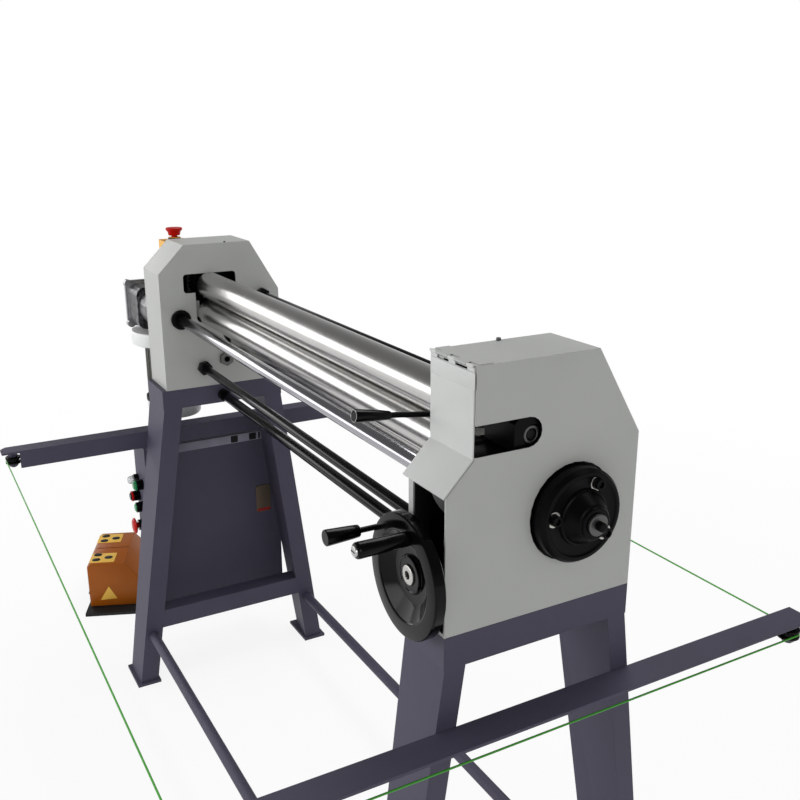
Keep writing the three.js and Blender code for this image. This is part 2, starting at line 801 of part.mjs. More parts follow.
// Gears: straight-sided teeth round a root circle, drawn at the origin along x
function gear(teeth, gapAngle, bore) {
  const pitchRadius = (gearModule * teeth) / 2;
  const tip = pitchRadius + toothAddendum;
  const root = pitchRadius - toothDedendum;
  const pitch = 360 / teeth;
  const outline = [];
  for (let i = 0; i < teeth; i++) {
    const tooth = gapAngle + (i + 0.5) * pitch;
    const half = (toothShare * pitch) / 2;
    const foot = arc(0, 0, root, tooth - half * toothFoot, tooth + half * toothFoot, 1);
    const crest = arc(0, 0, tip, tooth - half * toothCrest, tooth + half * toothCrest, 1);
    outline.push(foot[0], ...crest, foot[1]);
  }
  const body = prism("x", outline, [-gearWidth / 2, gearWidth / 2]);
  return bore ? cut(body, rod("x", bore, [-gearWidth, gearWidth], [0, 0])) : body;
}

const lowerGap = 90; // the lower gear has a gap straight above its centre
const lowerPitch = 360 / rollTeeth;
const nearestTooth = lowerGap + lowerPitch * (Math.round((driveAngle - lowerGap) / lowerPitch - 0.5) + 0.5);
const driveGap = driveAngle - 180 + ((driveAngle - nearestTooth) * rollTeeth) / driveTeeth;

// Top roll, in bearings that swing about the gears' middle
function topRoll() {
  const profile = [
    [0, gearIn - topJournalPast],
    [journalRadius, gearIn - topJournalPast],
    [journalRadius, -rollEnd],
    [rollRadius, -rollEnd],
    [rollRadius, rollEnd],
    [journalRadius, rollEnd],
    [journalRadius, nearCavityOut - 14],
    [topEndRadius, nearCavityOut - 14],
    [topEndRadius, nearOuter - 8],
    [6.5, nearOuter - 8],
    [6.5, nearOuter - 20],
    [0, nearOuter - 20],
  ];
  return turned("x", profile, [0, 0], manySides);
}

function topBearingNear() {
  const inner = nearPlateOut + blockGap;
  const outer = nearCavityOut - blockGap;
  const nose = 10;
  const rearY = topBlockHalf;
  const z = topBlockRise;
  const outline = [
    [-rearY, -z + nose],
    [-rearY, z - nose],
    [-rearY + nose, z],
    [rearY, z],
    [rearY, -z],
    [-rearY + nose, -z],
  ];
  const armIn = rollEnd + 2;
  const armOut = armIn + 6;
  const pinY = upperPinY - topRollY;
  const pinZ = upperPinZ - topRollZ;
  const hubEnd = upperLeverX - leverHubWidth / 2;
  const arm = joined(
    rod("x", 20, [armIn, armOut], [0, 0]),
    rod("x", 14, [armIn, armOut], [pinY, pinZ]),
    prism("x", [[0, -20], [0, 20], [pinY, pinZ + 14], [pinY, pinZ - 14]], [armIn, armOut]),
    rod("x", 20, [armIn, inner + 1], [0, 0]),
    rod("x", 6, [hubEnd - 2, armIn + 1], [pinY, pinZ]),
    rod("x", 9, [hubEnd - 3, hubEnd - fit], [pinY, pinZ]),
  );
  const block = prism("x", outline, [inner, outer]);
  return cut(joined(block, arm), rod("x", journalRadius + fit, [armIn - 1, outer + 1], [0, 0], manySides));
}

function topBearingFar() {
  const start = gearIn - 6;
  const half = lowerBlockHalf + 3;
  const block = box([start - 34, start], [-half, half], [-topBlockRise, topBlockRise]);
  return cut(block, rod("x", journalRadius + fit, [start - 35, start + 1], [0, 0], manySides));
}

// Lower roll, in blocks that the lower lever's cam raises
function lowerRoll() {
  const profile = [
    [0, gearIn - 2],
    [journalRadius, gearIn - 2],
    [journalRadius, -rollEnd],
    [rollRadius, -rollEnd],
    [rollRadius, rollEnd],
    [journalRadius, rollEnd],
    [journalRadius, nearPlateOut + 40],
    [0, nearPlateOut + 40],
  ];
  return turned("x", profile, [0, 0], manySides);
}

function lowerBearingNear() {
  const start = nearPlateOut + blockGap;
  const half = lowerBlockHalf;
  const bore = rod("x", journalRadius + fit, [start - 1, start + 42], [0, 0], manySides);
  const camTop = lowerPinZ + camRadius - lowerRollZ;
  const footZ = camTop + fit;
  const footX = [start + 1, start + 25];
  return cut(
    joined(
      box([start, start + 40], [-half, half], [-half, half]),
      box(footX, [-half, -2], [footZ, -half + 1]),
      box(footX, [lowerPinY - 16 - lowerRollY, -2], [footZ, footZ + 15]),
    ),
    bore,
  );
}

function lowerBearingFar() {
  const half = lowerBlockHalf;
  const end = farPlateOut - 2.3;
  const block = box([end - 17, end], [-half, half], [-half, half]);
  return cut(block, rod("x", journalRadius + fit, [end - 18, end + 1], [0, 0], manySides));
}

// The drive shaft, forged with its pinion
function driveShaft() {
  const shaft = rod("x", driveShaftRadius, [driveEnd, gearOut], [0, 0]);
  const pinion = gear(driveTeeth, driveGap).translate(gearMiddle, 0, 0);
  return joined(shaft, pinion);
}

// Rear roll and the eccentric carriers that raise it
function rearRoll() {
  const profile = [
    [0, farPlateOut - 40],
    [farRearJournal, farPlateOut - 40],
    [farRearJournal, -rollEnd],
    [rollRadius, -rollEnd],
    [rollRadius, rollEnd],
    [carrierPocket, rollEnd],
    [carrierPocket, nearPlateOut + 48],
    [0, nearPlateOut + 48],
  ];
  return turned("x", profile, [0, 0], manySides);
}

const rearRollPlace = [rearRollY - carrierY, rearRollZ - carrierZ];

function carrierNear() {
  const start = nearPlateIn + 1;
  const face = nearOuter + hubFace;
  const tip = face + hubBossLength + noseLength;
  const profile = [
    [0, start],
    [carrierRadius, start],
    [carrierRadius, nearPlateOut],
    [carrierWaist, nearPlateOut],
    [carrierWaist, wheelX - wormRadius],
    [wormWheelRadius, wheelX - wormRadius],
    [wormWheelRadius, wheelX + wormRadius],
    [carrierWaist, wheelX + wormRadius],
    [carrierWaist, nearCavityOut - 19],
    [carrierNeck, nearCavityOut - 19],
    [carrierNeck, nearCavityOut + 1],
    [noseRadius, nearCavityOut + 1],
    [noseRadius, tip],
    [noseBoltRadius, tip],
    [noseBoltRadius, tip + noseBoltLength],
    [0, tip + noseBoltLength],
  ];
  const pocket = rod("x", carrierPocket + fit, [start - 1, nearPlateOut + 50], rearRollPlace, manySides);
  return cut(turned("x", profile, [0, 0], manySides), pocket);
}

function carrierFar() {
  const end = farPlateOut - 46;
  const profile = [
    [0, end],
    [farCarrierFlange, end],
    [farCarrierFlange, farPlateOut - fit],
    [farCarrierRadius, farPlateOut - fit],
    [farCarrierRadius, farInner - 1],
    [0, farInner - 1],
  ];
  const pocket = rod("x", farRearJournal + fit, [farPlateOut - 42, farInner + 1], rearRollPlace, manySides);
  return cut(turned("x", profile, [0, 0], manySides), pocket);
}

function bearingRing() {
  const span = [nearCavityOut - 18, nearCavityOut - fit];
  return cut(
    rod("x", bearingRingRadius, span, [carrierY, carrierZ], manySides),
    rod("x", runningBore(carrierNeck), [span[0] - 1, span[1] + 1], [carrierY, carrierZ], manySides),
  );
}

function hubFlange() {
  const start = nearCavityOut + 1 + fit;
  const face = nearOuter + hubFace;
  const profile = [
    [noseRadius + fit, start],
    [hubRadius, start],
    [hubRadius, face - hubLip],
    [hubRadius - hubLip, face],
    [hubConeRadius, face],
    [hubBossRadius, face + hubBossLength],
    [noseRadius + fit, face + hubBossLength],
    [noseRadius + fit, start],
  ];
  const screws = hubScrewAngles.map((angle) => {
    const centre = arc(0, 0, hubScrewCircle, angle, angle, 1)[0];
    return cut(
      rod("x", hubScrewRadius, [face - 1, face + hubScrewHead], centre, fewSides),
      hexagon("x", hubScrewRadius, [face + 3, face + hubScrewHead + 1], centre),
    );
  });
  return joined(turned("x", profile, [0, 0], manySides), screws);
}

// Handwheel, drawn round its own axis with its face at -y
function handwheel() {
  const face = -wheelFace;
  const back = face + wheelRimDepth;
  const rimIn = wheelRadius - wheelRimWidth;
  const profile = [
    [shaftRadius + fit, back + 6],
    [wheelHubRadius, back + 6],
    [wheelHubRadius + 4, back],
    [wheelRadius - 4, back],
    [wheelRadius, back - 4],
    [wheelRadius, face + 4],
    [wheelRadius - 4, face],
    [rimIn + 3, face],
    [rimIn, face + 3],
    [rimIn - 16, face + wheelDish],
    [wheelHubRadius + 3, face + wheelDish],
    [wheelHubRadius, face + wheelDish - 2],
    [shaftRadius + fit, face + wheelDish - 2],
    [shaftRadius + fit, back + 6],
  ];
  const handle = [handleX, handleZ];
  const gripEnd = face - handleLength;
  const pin = joined(
    rod("y", handlePinRadius, [gripEnd - 1, face + 1], handle, fewSides),
    rod("y", handleCapRadius, [gripEnd - fit - handleCapLength, gripEnd - fit], handle, fewSides),
    rod("y", handleRootRadius, [face, face + wheelDish], handle),
  );
  return joined(turned("y", profile, [0, 0], manySides), pin);
}

function handleGrip() {
  const start = -wheelFace - fit;
  const end = -wheelFace - handleLength;
  const profile = [
    [handlePinRadius + fit, start],
    [handleRootRadius, start],
    [handleRadius, end + 3],
    [handleRadius - 1, end],
    [handlePinRadius + fit, end],
    [handlePinRadius + fit, start],
  ];
  return turned("y", profile, [0, 0], 20);
}

function handwheelShaft() {
  const middle = carrierY;
  const rearEnd = rearSeatY + seatWidth + 5;
  const profile = [
    [0, -wheelFace + wheelDish + 2],
    [shaftRadius, -wheelFace + wheelDish + 2],
    [shaftRadius, middle - wormLength / 2],
    [wormRadius, middle - wormLength / 2 + 4],
    [wormRadius, middle + wormLength / 2 - 4],
    [shaftRadius, middle + wormLength / 2],
    [shaftRadius, rearEnd],
    [0, rearEnd],
  ];
  return turned("y", profile, [0, 0]);
}

// Levers, drawn round their pins and pointing to the front
function leverRod(angle, length) {
  const profile = [[0, 0], [leverRodRadius, 0], [leverRodRadius, length], [0, length]];
  return turned("z", profile, [0, 0], 12).rotate([90 - angle, 0, 0]);
}

// A tapered grip with a flat end, over the last part of a rod of the given length
function grip(angle, length, rootRadius, endRadius, gripLength) {
  const start = length - gripOverlap;
  const end = start + gripLength;
  const profile = [
    [leverRodRadius + fit, start],
    [rootRadius, start],
    [endRadius, end - 2],
    [endRadius - 1, end],
    [0, end],
    [0, length + fit],
    [leverRodRadius + fit, length + fit],
    [leverRodRadius + fit, start],
  ];
  return turned("z", profile, [0, 0], 20).rotate([90 - angle, 0, 0]);
}

function upperLever() {
  const half = leverHubWidth / 2;
  const hub = rod("x", leverHubRadius, [-half, half], [0, 0]);
  const bore = rod("x", 6 + fit, [-half - 1, half + 1], [0, 0]);
  return cut(joined(hub, leverRod(upperLeverAngle, upperRodLength)), bore);
}

function lowerLever() {
  const half = leverHubWidth / 2;
  const shaftEnd = nearPlateOut + 30;
  const camX = [nearPlateOut + blockGap + 2 - lowerLeverX, nearPlateOut + blockGap + 24 - lowerLeverX];
  return joined(
    rod("x", leverHubRadius, [-half, half], [0, 0]),
    leverRod(lowerLeverAngle, lowerRodLength),
    rod("x", leverShaftRadius, [-half - 3, shaftEnd - lowerLeverX], [0, 0]),
    rod("x", camRadius, camX, [-camThrow, 0]),
  );
}

// Gear motor behind the far housing
function gearbox() {
  const tube = [farOuter - tubeLength, farOuter - fit];
  const body = [tube[0] - gearboxLength, tube[0]];
  const half = gearboxHalf;
  const cover = [body[0], body[0] + 12];
  const web = half - 6;
  const bodyZ = driveZ - gearboxDrop;
  const neckTop = bodyZ - half + 12;
  const neckBottom = bed + motorFlangeTop + fit;
  const square = (reach, corner, span) =>
    prism("x", roundedRectangle(about(driveY, reach), about(bodyZ, reach), corner), span);
  const ears = [];
  for (const y of about(driveY, half - 8))
    for (const z of about(bodyZ, half - 8)) ears.push(rod("x", 11, [cover[0], cover[1] + 8], [y, z], fewSides));
  return cut(
    joined(
      rod("x", tubeRadius, [tube[0] - 1, tube[1]], [driveY, driveZ], manySides),
      square(web, 22, [body[0] + 4, body[1] - 4]),
      rod("x", half - gearboxDrop, [body[1] - 10, body[1]], [driveY, driveZ], manySides),
      square(half, 12, cover),
      rod("x", half - 20, [body[0] - 8, body[0] + 1], [driveY, bodyZ], manySides),
      rod("z", gearboxNeck, [neckBottom, neckTop], [motorX, motorY], manySides),
      ears,
    ),
    rod("x", driveShaftRadius + fit, [driveEnd - 1, tube[1] + 1], [driveY, driveZ]),
    rod("x", tubeRadius - 8, [tube[0] + 10, tube[1] + 1], [driveY, driveZ], manySides),
  );
}

function motor() {
  const flangeTop = bed + motorFlangeTop;
  const flangeBottom = flangeTop - motorFlangeDepth;
  const bodyBottom = flangeBottom - motorBodyLength;
  const bandBottom = bodyBottom - motorBandLength;
  const core = motorRadius - motorFinDepth;
  const profile = [
    [0, bandBottom],
    [fanCoverRadius, bandBottom],
    [fanCoverRadius, bodyBottom],
    [core, bodyBottom],
    [core, flangeBottom - 10],
    [motorRadius, flangeBottom],
    [motorFlangeRadius, flangeBottom + 12],
    [motorFlangeRadius, flangeTop],
    [0, flangeTop],
  ];
  const fin = box([core - 2, motorRadius], [-1.6, 1.6], [bodyBottom - 1, flangeBottom - 8]);
  const fins = Array.from({ length: motorFins }, (_, i) => fin.rotate([0, 0, (360 * i) / motorFins]));
  return joined(turned("z", profile, [0, 0], manySides), fins);
}

function fanCover() {
  const top = bed + motorFlangeTop - motorFlangeDepth - motorBodyLength - motorBandLength - fit;
  const bottom = top - fanCoverLength;
  const wall = 2;
  const profile = [
    [fanInlet, bottom],
    [fanCoverRadius - 12, bottom],
    [fanCoverRadius - 4, bottom + 8],
    [fanCoverRadius, top],
    [fanCoverRadius - wall, top],
    [fanCoverRadius - 4 - wall, bottom + 8 + wall],
    [fanCoverRadius - 12, bottom + wall],
    [fanInlet, bottom + wall],
    [fanInlet, bottom],
  ];
  return turned("z", profile, [0, 0], manySides);
}

// Cabinet on the far stand's outer face
const cabinetBack = farOuter - fit;
const cabinetOpen = farOuter - cabinetDepth;

function bezelCentre(column, row) {
  return [farOuter - column, row];
}

function cabinet() {
  const [insideY, insideZ] = [[cabinetFront, cabinetRear], [cabinetBottom, cabinetTop]].map((span) =>
    within(span, cabinetWall),
  );
  const shell = cut(
    box([cabinetOpen, cabinetBack], [cabinetFront, cabinetRear], [cabinetBottom, cabinetTop]),
    box([cabinetOpen - 1, cabinetBack - cabinetWall], insideY, insideZ),
  );
  const places = [
    ...buttonRows.map((row) => bezelCentre(rightColumn, row)),
    bezelCentre(leftColumn, buttonRows[0]),
    ...leftRows.map((row) => bezelCentre(leftColumn, row)),
  ];
  const face = cabinetFront - bezelLength;
  const bezels = places.map((centre) => rod("y", bezelRadius, [face, cabinetFront + 1], centre));
  const holeSpan = [face - 1, cabinetFront + cabinetWall + 1];
  const pockets = places.map((centre) => rod("y", stemRadius + fit, holeSpan, centre));
  return cut(joined(shell, bezels), pockets);
}

// A push button: a stem in its bezel and a cap in front, drawn round its axis
function pushButton(radius, length) {
  const seat = -bezelLength - buttonTravel - fit;
  const profile = [
    [0, seat - length],
    [radius - 2, seat - length],
    [radius, seat - length + 3],
    [radius, seat],
    [stemRadius, seat],
    [stemRadius, cabinetWall - 1],
    [0, cabinetWall - 1],
  ];
  return turned("y", profile, [0, 0], 20);
}

function lamp() {
  const seat = -bezelLength - fit;
  const profile = [[0, seat - 20], [8, seat - 18], [12, seat - 10], [12, seat], [7, seat], [7, 2], [0, 2]];
  return turned("y", profile, [0, 0], 20);
}

// Emergency stop on top of its box
function stopBox() {
  const x = [farOuter - fit - stopBoxWidth, farOuter - fit];
  const y = [stopBoxFront, stopBoxFront + stopBoxDepth];
  const z = [bed + stopBoxBottom, bed + stopBoxBottom + stopBoxHeight];
  const centre = [(x[0] + x[1]) / 2, (y[0] + y[1]) / 2];
  return cut(
    joined(
      prism("z", roundedRectangle(x, y, 8), z),
      rod("z", stopCollarRadius, [z[1] - 1, z[1] + stopCollarHeight], centre, 20),
    ),
    rod("z", stopStem + fit, [z[1] - 30, z[1] + stopCollarHeight + 1], centre, 24),
  );
}

function stopButton() {
  const seat = stopCollarHeight + buttonTravel;
  const top = seat + stopHeadHeight;
  const profile = [
    [0, -20],
    [stopStem, -20],
    [stopStem, seat],
    [stopCollarRadius - 1, seat],
    [stopHeadRadius, top - 4],
    [stopHeadRadius, top - 2],
    [stopHeadRadius - 2, top],
    [0, top],
  ];
  return turned("z", profile, [0, 0], 24);
}

// Cross arms with a stud and nut under each end
function arm(out, web) {
  const flange = [web, web + out * armLeg].sort((a, b) => a - b);
  const webSpan = [web, web + out * armWall].sort((a, b) => a - b);
  const edge = web + out * armLeg;
  const shelfOutline = [
    [web, -armReach],
    [edge - out * armClip, -armReach],
    [edge, -armReach + armClip],
    [edge, armReach - armClip],
    [edge - out * armClip, armReach],
    [web, armReach],
  ];
  const centreX = (flange[0] + flange[1]) / 2;
  const studs = [-1, 1].map((side) => {
    const centre = [centreX, side * pulleyReach];
    const low = pulleyZ - pulleyHeight / 2 - fit;
    return joined(
      rod("z", studRadius, [low - studNutHeight - 3, armTop - 1], centre, 12),
      hexagon("z", studNutFlats, [low - studNutHeight, low], centre),
      hexagon("z", studNutFlats, [pulleyZ + pulleyHeight / 2 + fit, armTop - armWall + 1], centre),
    );
  });
  return joined(
    prism("z", shelfOutline, [armTop - armWall, armTop]),
    box(webSpan, [-armWebReach, armWebReach], [armTop - armDrop, armTop - 1]),
    studs,
  );
}

function pulley() {
  const half = pulleyHeight / 2;
  const profile = [
    [studRadius + fit, -half],
    [pulleyRadius, -half],
    [pulleyRadius, -4],
    [pulleyGroove, -2],
    [pulleyGroove, 2],
    [pulleyRadius, 4],
    [pulleyRadius, half],
    [studRadius + fit, half],
    [studRadius + fit, -half],
  ];
  return turned("z", profile, [0, 0], 16);
}

// The trip wire: one closed loop round the four pulleys
function tripWire(farX, nearX) {
  const bend = pulleyGroove + fit + wireRadius;
  const around = roundedRectangle([farX - bend, nearX + bend], about(0, pulleyReach + bend), bend, 5);
  const count = 8;
  const positions = [];
  around.forEach(([x, y], i) => {
    const before = around[(i + around.length - 1) % around.length];
    const after = around[(i + 1) % around.length];
    const along = new THREE.Vector2(after[0] - before[0], after[1] - before[1]).normalize();
    for (let k = 0; k < count; k++) {
      const angle = (2 * Math.PI * k) / count;
      const side = wireRadius * Math.cos(angle);
      positions.push(x + along.y * side, y - along.x * side, pulleyZ + wireRadius * Math.sin(angle));
    }
  });
  const index = [];
  for (let i = 0; i < around.length; i++)
    for (let k = 0; k < count; k++) {
      const next = ((i + 1) % around.length) * count;
      const [a, b, c, d] = [i * count + k, i * count + ((k + 1) % count), next + ((k + 1) % count), next + k];
      index.push(a, b, c, a, c, d);
    }
  const geometry = new THREE.BufferGeometry();
  geometry.setAttribute("position", new THREE.Float32BufferAttribute(positions, 3));
  geometry.setIndex(index);
  return closed(geometry);
}

// Foot pedal, drawn with its front corner at the origin
function pedalBase() {
  const axleZ = baseThickness + treadleRise;
  const plateY = [-baseMargin, hoodDepth + baseMargin];
  const plate = box([-hoodWidth - baseMargin, baseOverhang], plateY, [0, baseThickness]);
  const bays = bayCentres().map((x) => {
    const lugs = [-1, 1].map((side) => {
      const inside = x + side * (treadleWidth / 2 + fit);
      const lugSpan = between(inside, inside + side * lugThickness);
      return box(lugSpan, about(treadleAxleY(), 8), [baseThickness - 1, axleZ + 8]);
    });
    const axle = rod("x", axleRadius, about(x, treadleWidth / 2 + 2), [treadleAxleY(), axleZ], fewSides);
    return joined(lugs, axle);
  });
  return joined(plate, bays);
}

function bayCentres() {
  return [-hoodWidth * 0.25 - hoodWall / 4, -hoodWidth * 0.75 + hoodWall / 4];
}

function treadleAxleY() {
  return treadleLength - treadleReach;
}

function pedalHood() {
  const low = baseThickness + fit;
  const outline = [
    [0, low],
    [0, hoodHeight - 10],
    [10, hoodHeight],
    [hoodRoof, hoodHeight],
    [hoodDepth, hoodRearHeight],
    [hoodDepth, low],
  ];
  const bayWidth = (hoodWidth - 3 * hoodWall) / 2;
  const inner = [
    [-1, low - 1],
    [-1, hoodHeight - 10 - hoodWall],
    [10, hoodHeight - hoodWall],
    [hoodRoof - 2, hoodHeight - hoodWall],
    [hoodDepth - hoodWall, hoodRearHeight - 3],
    [hoodDepth - hoodWall, low - 1],
  ];
  const bays = bayCentres().map((x) => prism("x", inner, [x - bayWidth / 2, x + bayWidth / 2]));
  return cut(prism("x", outline, [-hoodWidth, 0]), bays);
}

function treadle() {
  const wide = about(0, treadleWidth / 2);
  const board = box(wide, [-treadleLength, 6], about(0, treadleThickness / 2));
  const sleeve = rod("x", 7, wide, [0, 0], fewSides);
  const bore = rod("x", runningBore(axleRadius, fewSides), [-treadleWidth, treadleWidth], [0, 0], fewSides);
  return cut(joined(board, sleeve), bore);
}

// The machine is put together here
place("stand_far", stand(farInner, farOuter), slatePaint);
place("stand_near", stand(nearInner, nearOuter), slatePaint);
place("tie_tube_front", tieTube(-1), slatePaint);
place("tie_tube_rear", tieTube(1), slatePaint);
place("near_housing", nearHousing(), greyPaint);
place("far_housing", farHousing(), greyPaint);
place("far_back_plate", farBackPlate(), greyPaint);
place("flap_cover", flap(), flapPaint);
place("tie_rod_front", nuttedRod(frontRodRadius, frontRodY, frontRodHeight), blackOxide);
place("tie_rod_rear", nuttedRod(rearRodRadius, rearRodY, rearRodHeight), blackOxide);
place("tie_rod_low", lowRod(), blackOxide);
const barSpan = [farInner - rodSeat, nearPlateIn + rodSeat];
place("front_bar", rod("x", barRadius, barSpan, [barY, bed + barHeight]), chrome);
place("bar_flange_far", barFlange(farInner + fit), blackOxide);
place("bar_flange_near", barFlange(nearPlateIn - fit - barFlangeThickness), blackOxide);
const bushSpan = [farInner + fit, farInner + fit + bushLength];
const bushCentre = [bushY, bed + bushHeight];
const bushHole = rod("x", bushBore, within(bushSpan, -1), bushCentre, fewSides);
place("hex_bush", cut(hexagon("x", bushFlats, bushSpan, bushCentre), bushHole), steel);

const topAxis = groupAt(0, topRollY, topRollZ);
place("top_roll", topRoll(), chrome, topAxis);
place("top_bearing_near", topBearingNear(), blackOxide, topAxis);
place("top_bearing_far", topBearingFar(), blackOxide, topAxis);
const topGear = gear(rollTeeth, lowerPitch / 2 - 90, journalRadius + fit);
place("top_gear", topGear, steel, topAxis).position.x = gearMiddle;

const lowerAxis = groupAt(0, lowerRollY, lowerRollZ);
place("lower_roll", lowerRoll(), chrome, lowerAxis);
place("lower_bearing_near", lowerBearingNear(), blackOxide, lowerAxis);
place("lower_bearing_far", lowerBearingFar(), blackOxide, lowerAxis);
place("lower_gear", gear(rollTeeth, lowerGap, journalRadius + fit), steel, lowerAxis).position.x = gearMiddle;
place("drive_shaft", driveShaft(), steel, groupAt(0, driveY, driveZ));

place("rear_roll", rearRoll(), chrome, groupAt(0, rearRollY, rearRollZ));
const carrierAxis = groupAt(0, carrierY, carrierZ);
place("rear_carrier_near", carrierNear(), steel, carrierAxis);
place("rear_carrier_far", carrierFar(), steel, carrierAxis);
place("hub_flange", hubFlange(), blackOxide, carrierAxis);
place("rear_bearing_near", bearingRing(), blackOxide);

const wheelAxis = groupAt(wheelX, 0, wheelZ);
place("handwheel", handwheel(), blackPlastic, wheelAxis);
place("handwheel_shaft", handwheelShaft(), steel, wheelAxis);
place("handle_grip", handleGrip(), blackPlastic, groupAt(handleX, 0, handleZ, wheelAxis));

const upperPin = groupAt(upperLeverX, upperPinY, upperPinZ);
place("upper_lever", upperLever(), blackOxide, upperPin);
const upperGrip = grip(upperLeverAngle, upperRodLength, upperGripRoot, upperGripEnd, upperGripLength);
place("upper_lever_grip", upperGrip, blackPlastic, upperPin);
const lowerPin = groupAt(lowerLeverX, lowerPinY, lowerPinZ);
place("lower_lever", lowerLever(), blackOxide, lowerPin);
const lowerGrip = grip(lowerLeverAngle, lowerRodLength, lowerGripRoot, lowerGripEnd, lowerGripLength);
place("lower_lever_grip", lowerGrip, blackPlastic, lowerPin);

place("gearbox", gearbox(), castAluminium);
const motorAxis = groupAt(motorX, motorY, 0);
place("motor", motor(), motorPaint, motorAxis);
place("fan_cover", fanCover(), fanPaint, motorAxis);

place("cabinet", cabinet(), slatePaint);
const doorSpan = [cabinetOpen - fit - doorThickness, cabinetOpen - fit];
place("cabinet_door", box(doorSpan, [cabinetFront, cabinetRear], [cabinetBottom, cabinetTop]), slatePaint);
const plateTop = plateZ + plateHeight;
const plate = box([farOuter, farOuter + plateThickness], [plateY, plateY + plateWidth], [plateZ, plateTop]);
place("rating_plate", plate, platePaint);

const panelPieces = [
  ["lamp_power", leftColumn, buttonRows[0], lamp(), clearPlastic],
  ["button_start", rightColumn, buttonRows[0], pushButton(capRadius, capLength), greenPlastic],
  ["button_jog", rightColumn, buttonRows[1], pushButton(capRadius, capLength), greenPlastic],
  ["button_stop", leftColumn, leftRows[0], pushButton(capRadius, capLength), redPlastic],
  ["button_panel_stop", leftColumn, leftRows[1], pushButton(mushroomRadius, capLength), redPlastic],
];
for (const [name, column, row, solid, material] of panelPieces) {
  const [x, z] = bezelCentre(column, row);
  place(name, solid, material, groupAt(x, cabinetFront, z));
}

place("estop_box", stopBox(), yellowPlastic);
const stopX = farOuter - fit - stopBoxWidth / 2;
const stopY = stopBoxFront + stopBoxDepth / 2;
place("estop_button", stopButton(), redPlastic, groupAt(stopX, stopY, bed + stopBoxBottom + stopBoxHeight));

place("arm_far", arm(-1, farOuter - fit), slatePaint);
place("arm_near", arm(1, nearOuter + fit), slatePaint);
const pulleyFarX = farOuter - fit - armLeg / 2;
const pulleyNearX = nearOuter + fit + armLeg / 2;
for (const [end, x] of [["far", pulleyFarX], ["near", pulleyNearX]])
  for (const [side, y] of [["front", -pulleyReach], ["rear", pulleyReach]])
    place(`pulley_${end}_${side}`, pulley(), blackPlastic, groupAt(x, y, pulleyZ));
place("trip_wire", tripWire(pulleyFarX, pulleyNearX), greenWire);

const pedal = groupAt(pedalX, pedalY, 0);
pedal.rotation.z = radians(pedalTurn);
place("pedal_base", pedalBase(), blackPlastic, pedal);
place("pedal_hood", pedalHood(), orangePaint, pedal);
const treadleNames = ["treadle_right", "treadle_left"];
bayCentres().forEach((x, i) => {
  const axle = groupAt(x, treadleAxleY(), baseThickness + treadleRise, pedal);
  axle.rotation.x = radians(-treadleTilt);
  place(treadleNames[i], treadle(), blackPlastic, axle);
});

// The origin is put under the middle of the whole object, on the floor
const bounds = new THREE.Box3().setFromObject(machine, true);
const middle = bounds.getCenter(new THREE.Vector3());
machine.position.set(-middle.x, -middle.y, -bounds.min.z);

export default machine;
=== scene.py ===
# %% [markdown]
# A slip roll is a sheet-metal shop's bending machine. Two ground rolls grip the sheet and a third
# one behind them bends it. This one stands on two splayed stands and is driven by a gear motor.
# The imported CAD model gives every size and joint. This lesson gives it its turned, cast and
# painted surfaces, one family of pieces at a time.

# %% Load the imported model
import json
import math

import bmesh
import bpy
from mathutils import Matrix, Vector

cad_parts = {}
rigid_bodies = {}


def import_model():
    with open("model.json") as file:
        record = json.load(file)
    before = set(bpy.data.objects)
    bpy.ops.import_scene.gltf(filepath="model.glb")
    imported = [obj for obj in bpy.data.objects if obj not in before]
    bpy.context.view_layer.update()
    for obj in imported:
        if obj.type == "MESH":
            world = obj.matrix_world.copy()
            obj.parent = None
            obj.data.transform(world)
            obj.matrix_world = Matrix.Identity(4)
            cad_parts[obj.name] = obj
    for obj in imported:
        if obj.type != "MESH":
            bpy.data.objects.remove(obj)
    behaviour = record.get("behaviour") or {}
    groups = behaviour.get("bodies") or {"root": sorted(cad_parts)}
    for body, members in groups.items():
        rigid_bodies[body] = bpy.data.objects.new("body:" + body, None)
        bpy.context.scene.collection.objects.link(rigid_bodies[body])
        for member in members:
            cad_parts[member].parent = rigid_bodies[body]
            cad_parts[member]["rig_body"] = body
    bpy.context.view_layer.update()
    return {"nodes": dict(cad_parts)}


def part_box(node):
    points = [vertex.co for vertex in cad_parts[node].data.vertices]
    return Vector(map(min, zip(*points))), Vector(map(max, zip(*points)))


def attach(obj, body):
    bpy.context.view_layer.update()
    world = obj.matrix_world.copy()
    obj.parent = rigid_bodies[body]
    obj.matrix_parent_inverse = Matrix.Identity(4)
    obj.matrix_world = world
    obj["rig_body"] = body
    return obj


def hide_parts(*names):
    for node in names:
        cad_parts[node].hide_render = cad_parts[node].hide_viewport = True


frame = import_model()
nodes = frame["nodes"]

# %% [markdown]
# The machine was drawn in millimetres from a point midway between its housings. One shift along
# X turns those drawing sizes into the frame's metres, so that a piece can be written down the way
# a machinist would read it off a drawing.

# %% Drawing sizes into the frame
NEAR_OUT = 742  # the near housing's outer face on the drawing
NEAR_IN = 632  # its inner face
NEAR_PLATE = 645  # the plate behind that face, which the rods are screwed to
FAR_IN = -632
CABINET_FACE = -772  # the cabinet's face towards the near housing
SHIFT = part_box("near_housing")[1].x - NEAR_OUT / 1000


def at(x, y, z):
    return Vector((x / 1000 + SHIFT, y / 1000, z / 1000))


print("shift along X", round(SHIFT, 4), "m")

# %% [markdown]
# Every piece ends the same way: doubles merged, normals facing out, shading smooth except over
# real corners, a material, a body to ride on, and the CAD node it stands for. One helper does all
# of it, so no piece can forget a step.

# %% Finishing a piece
SHARP = math.radians(32)


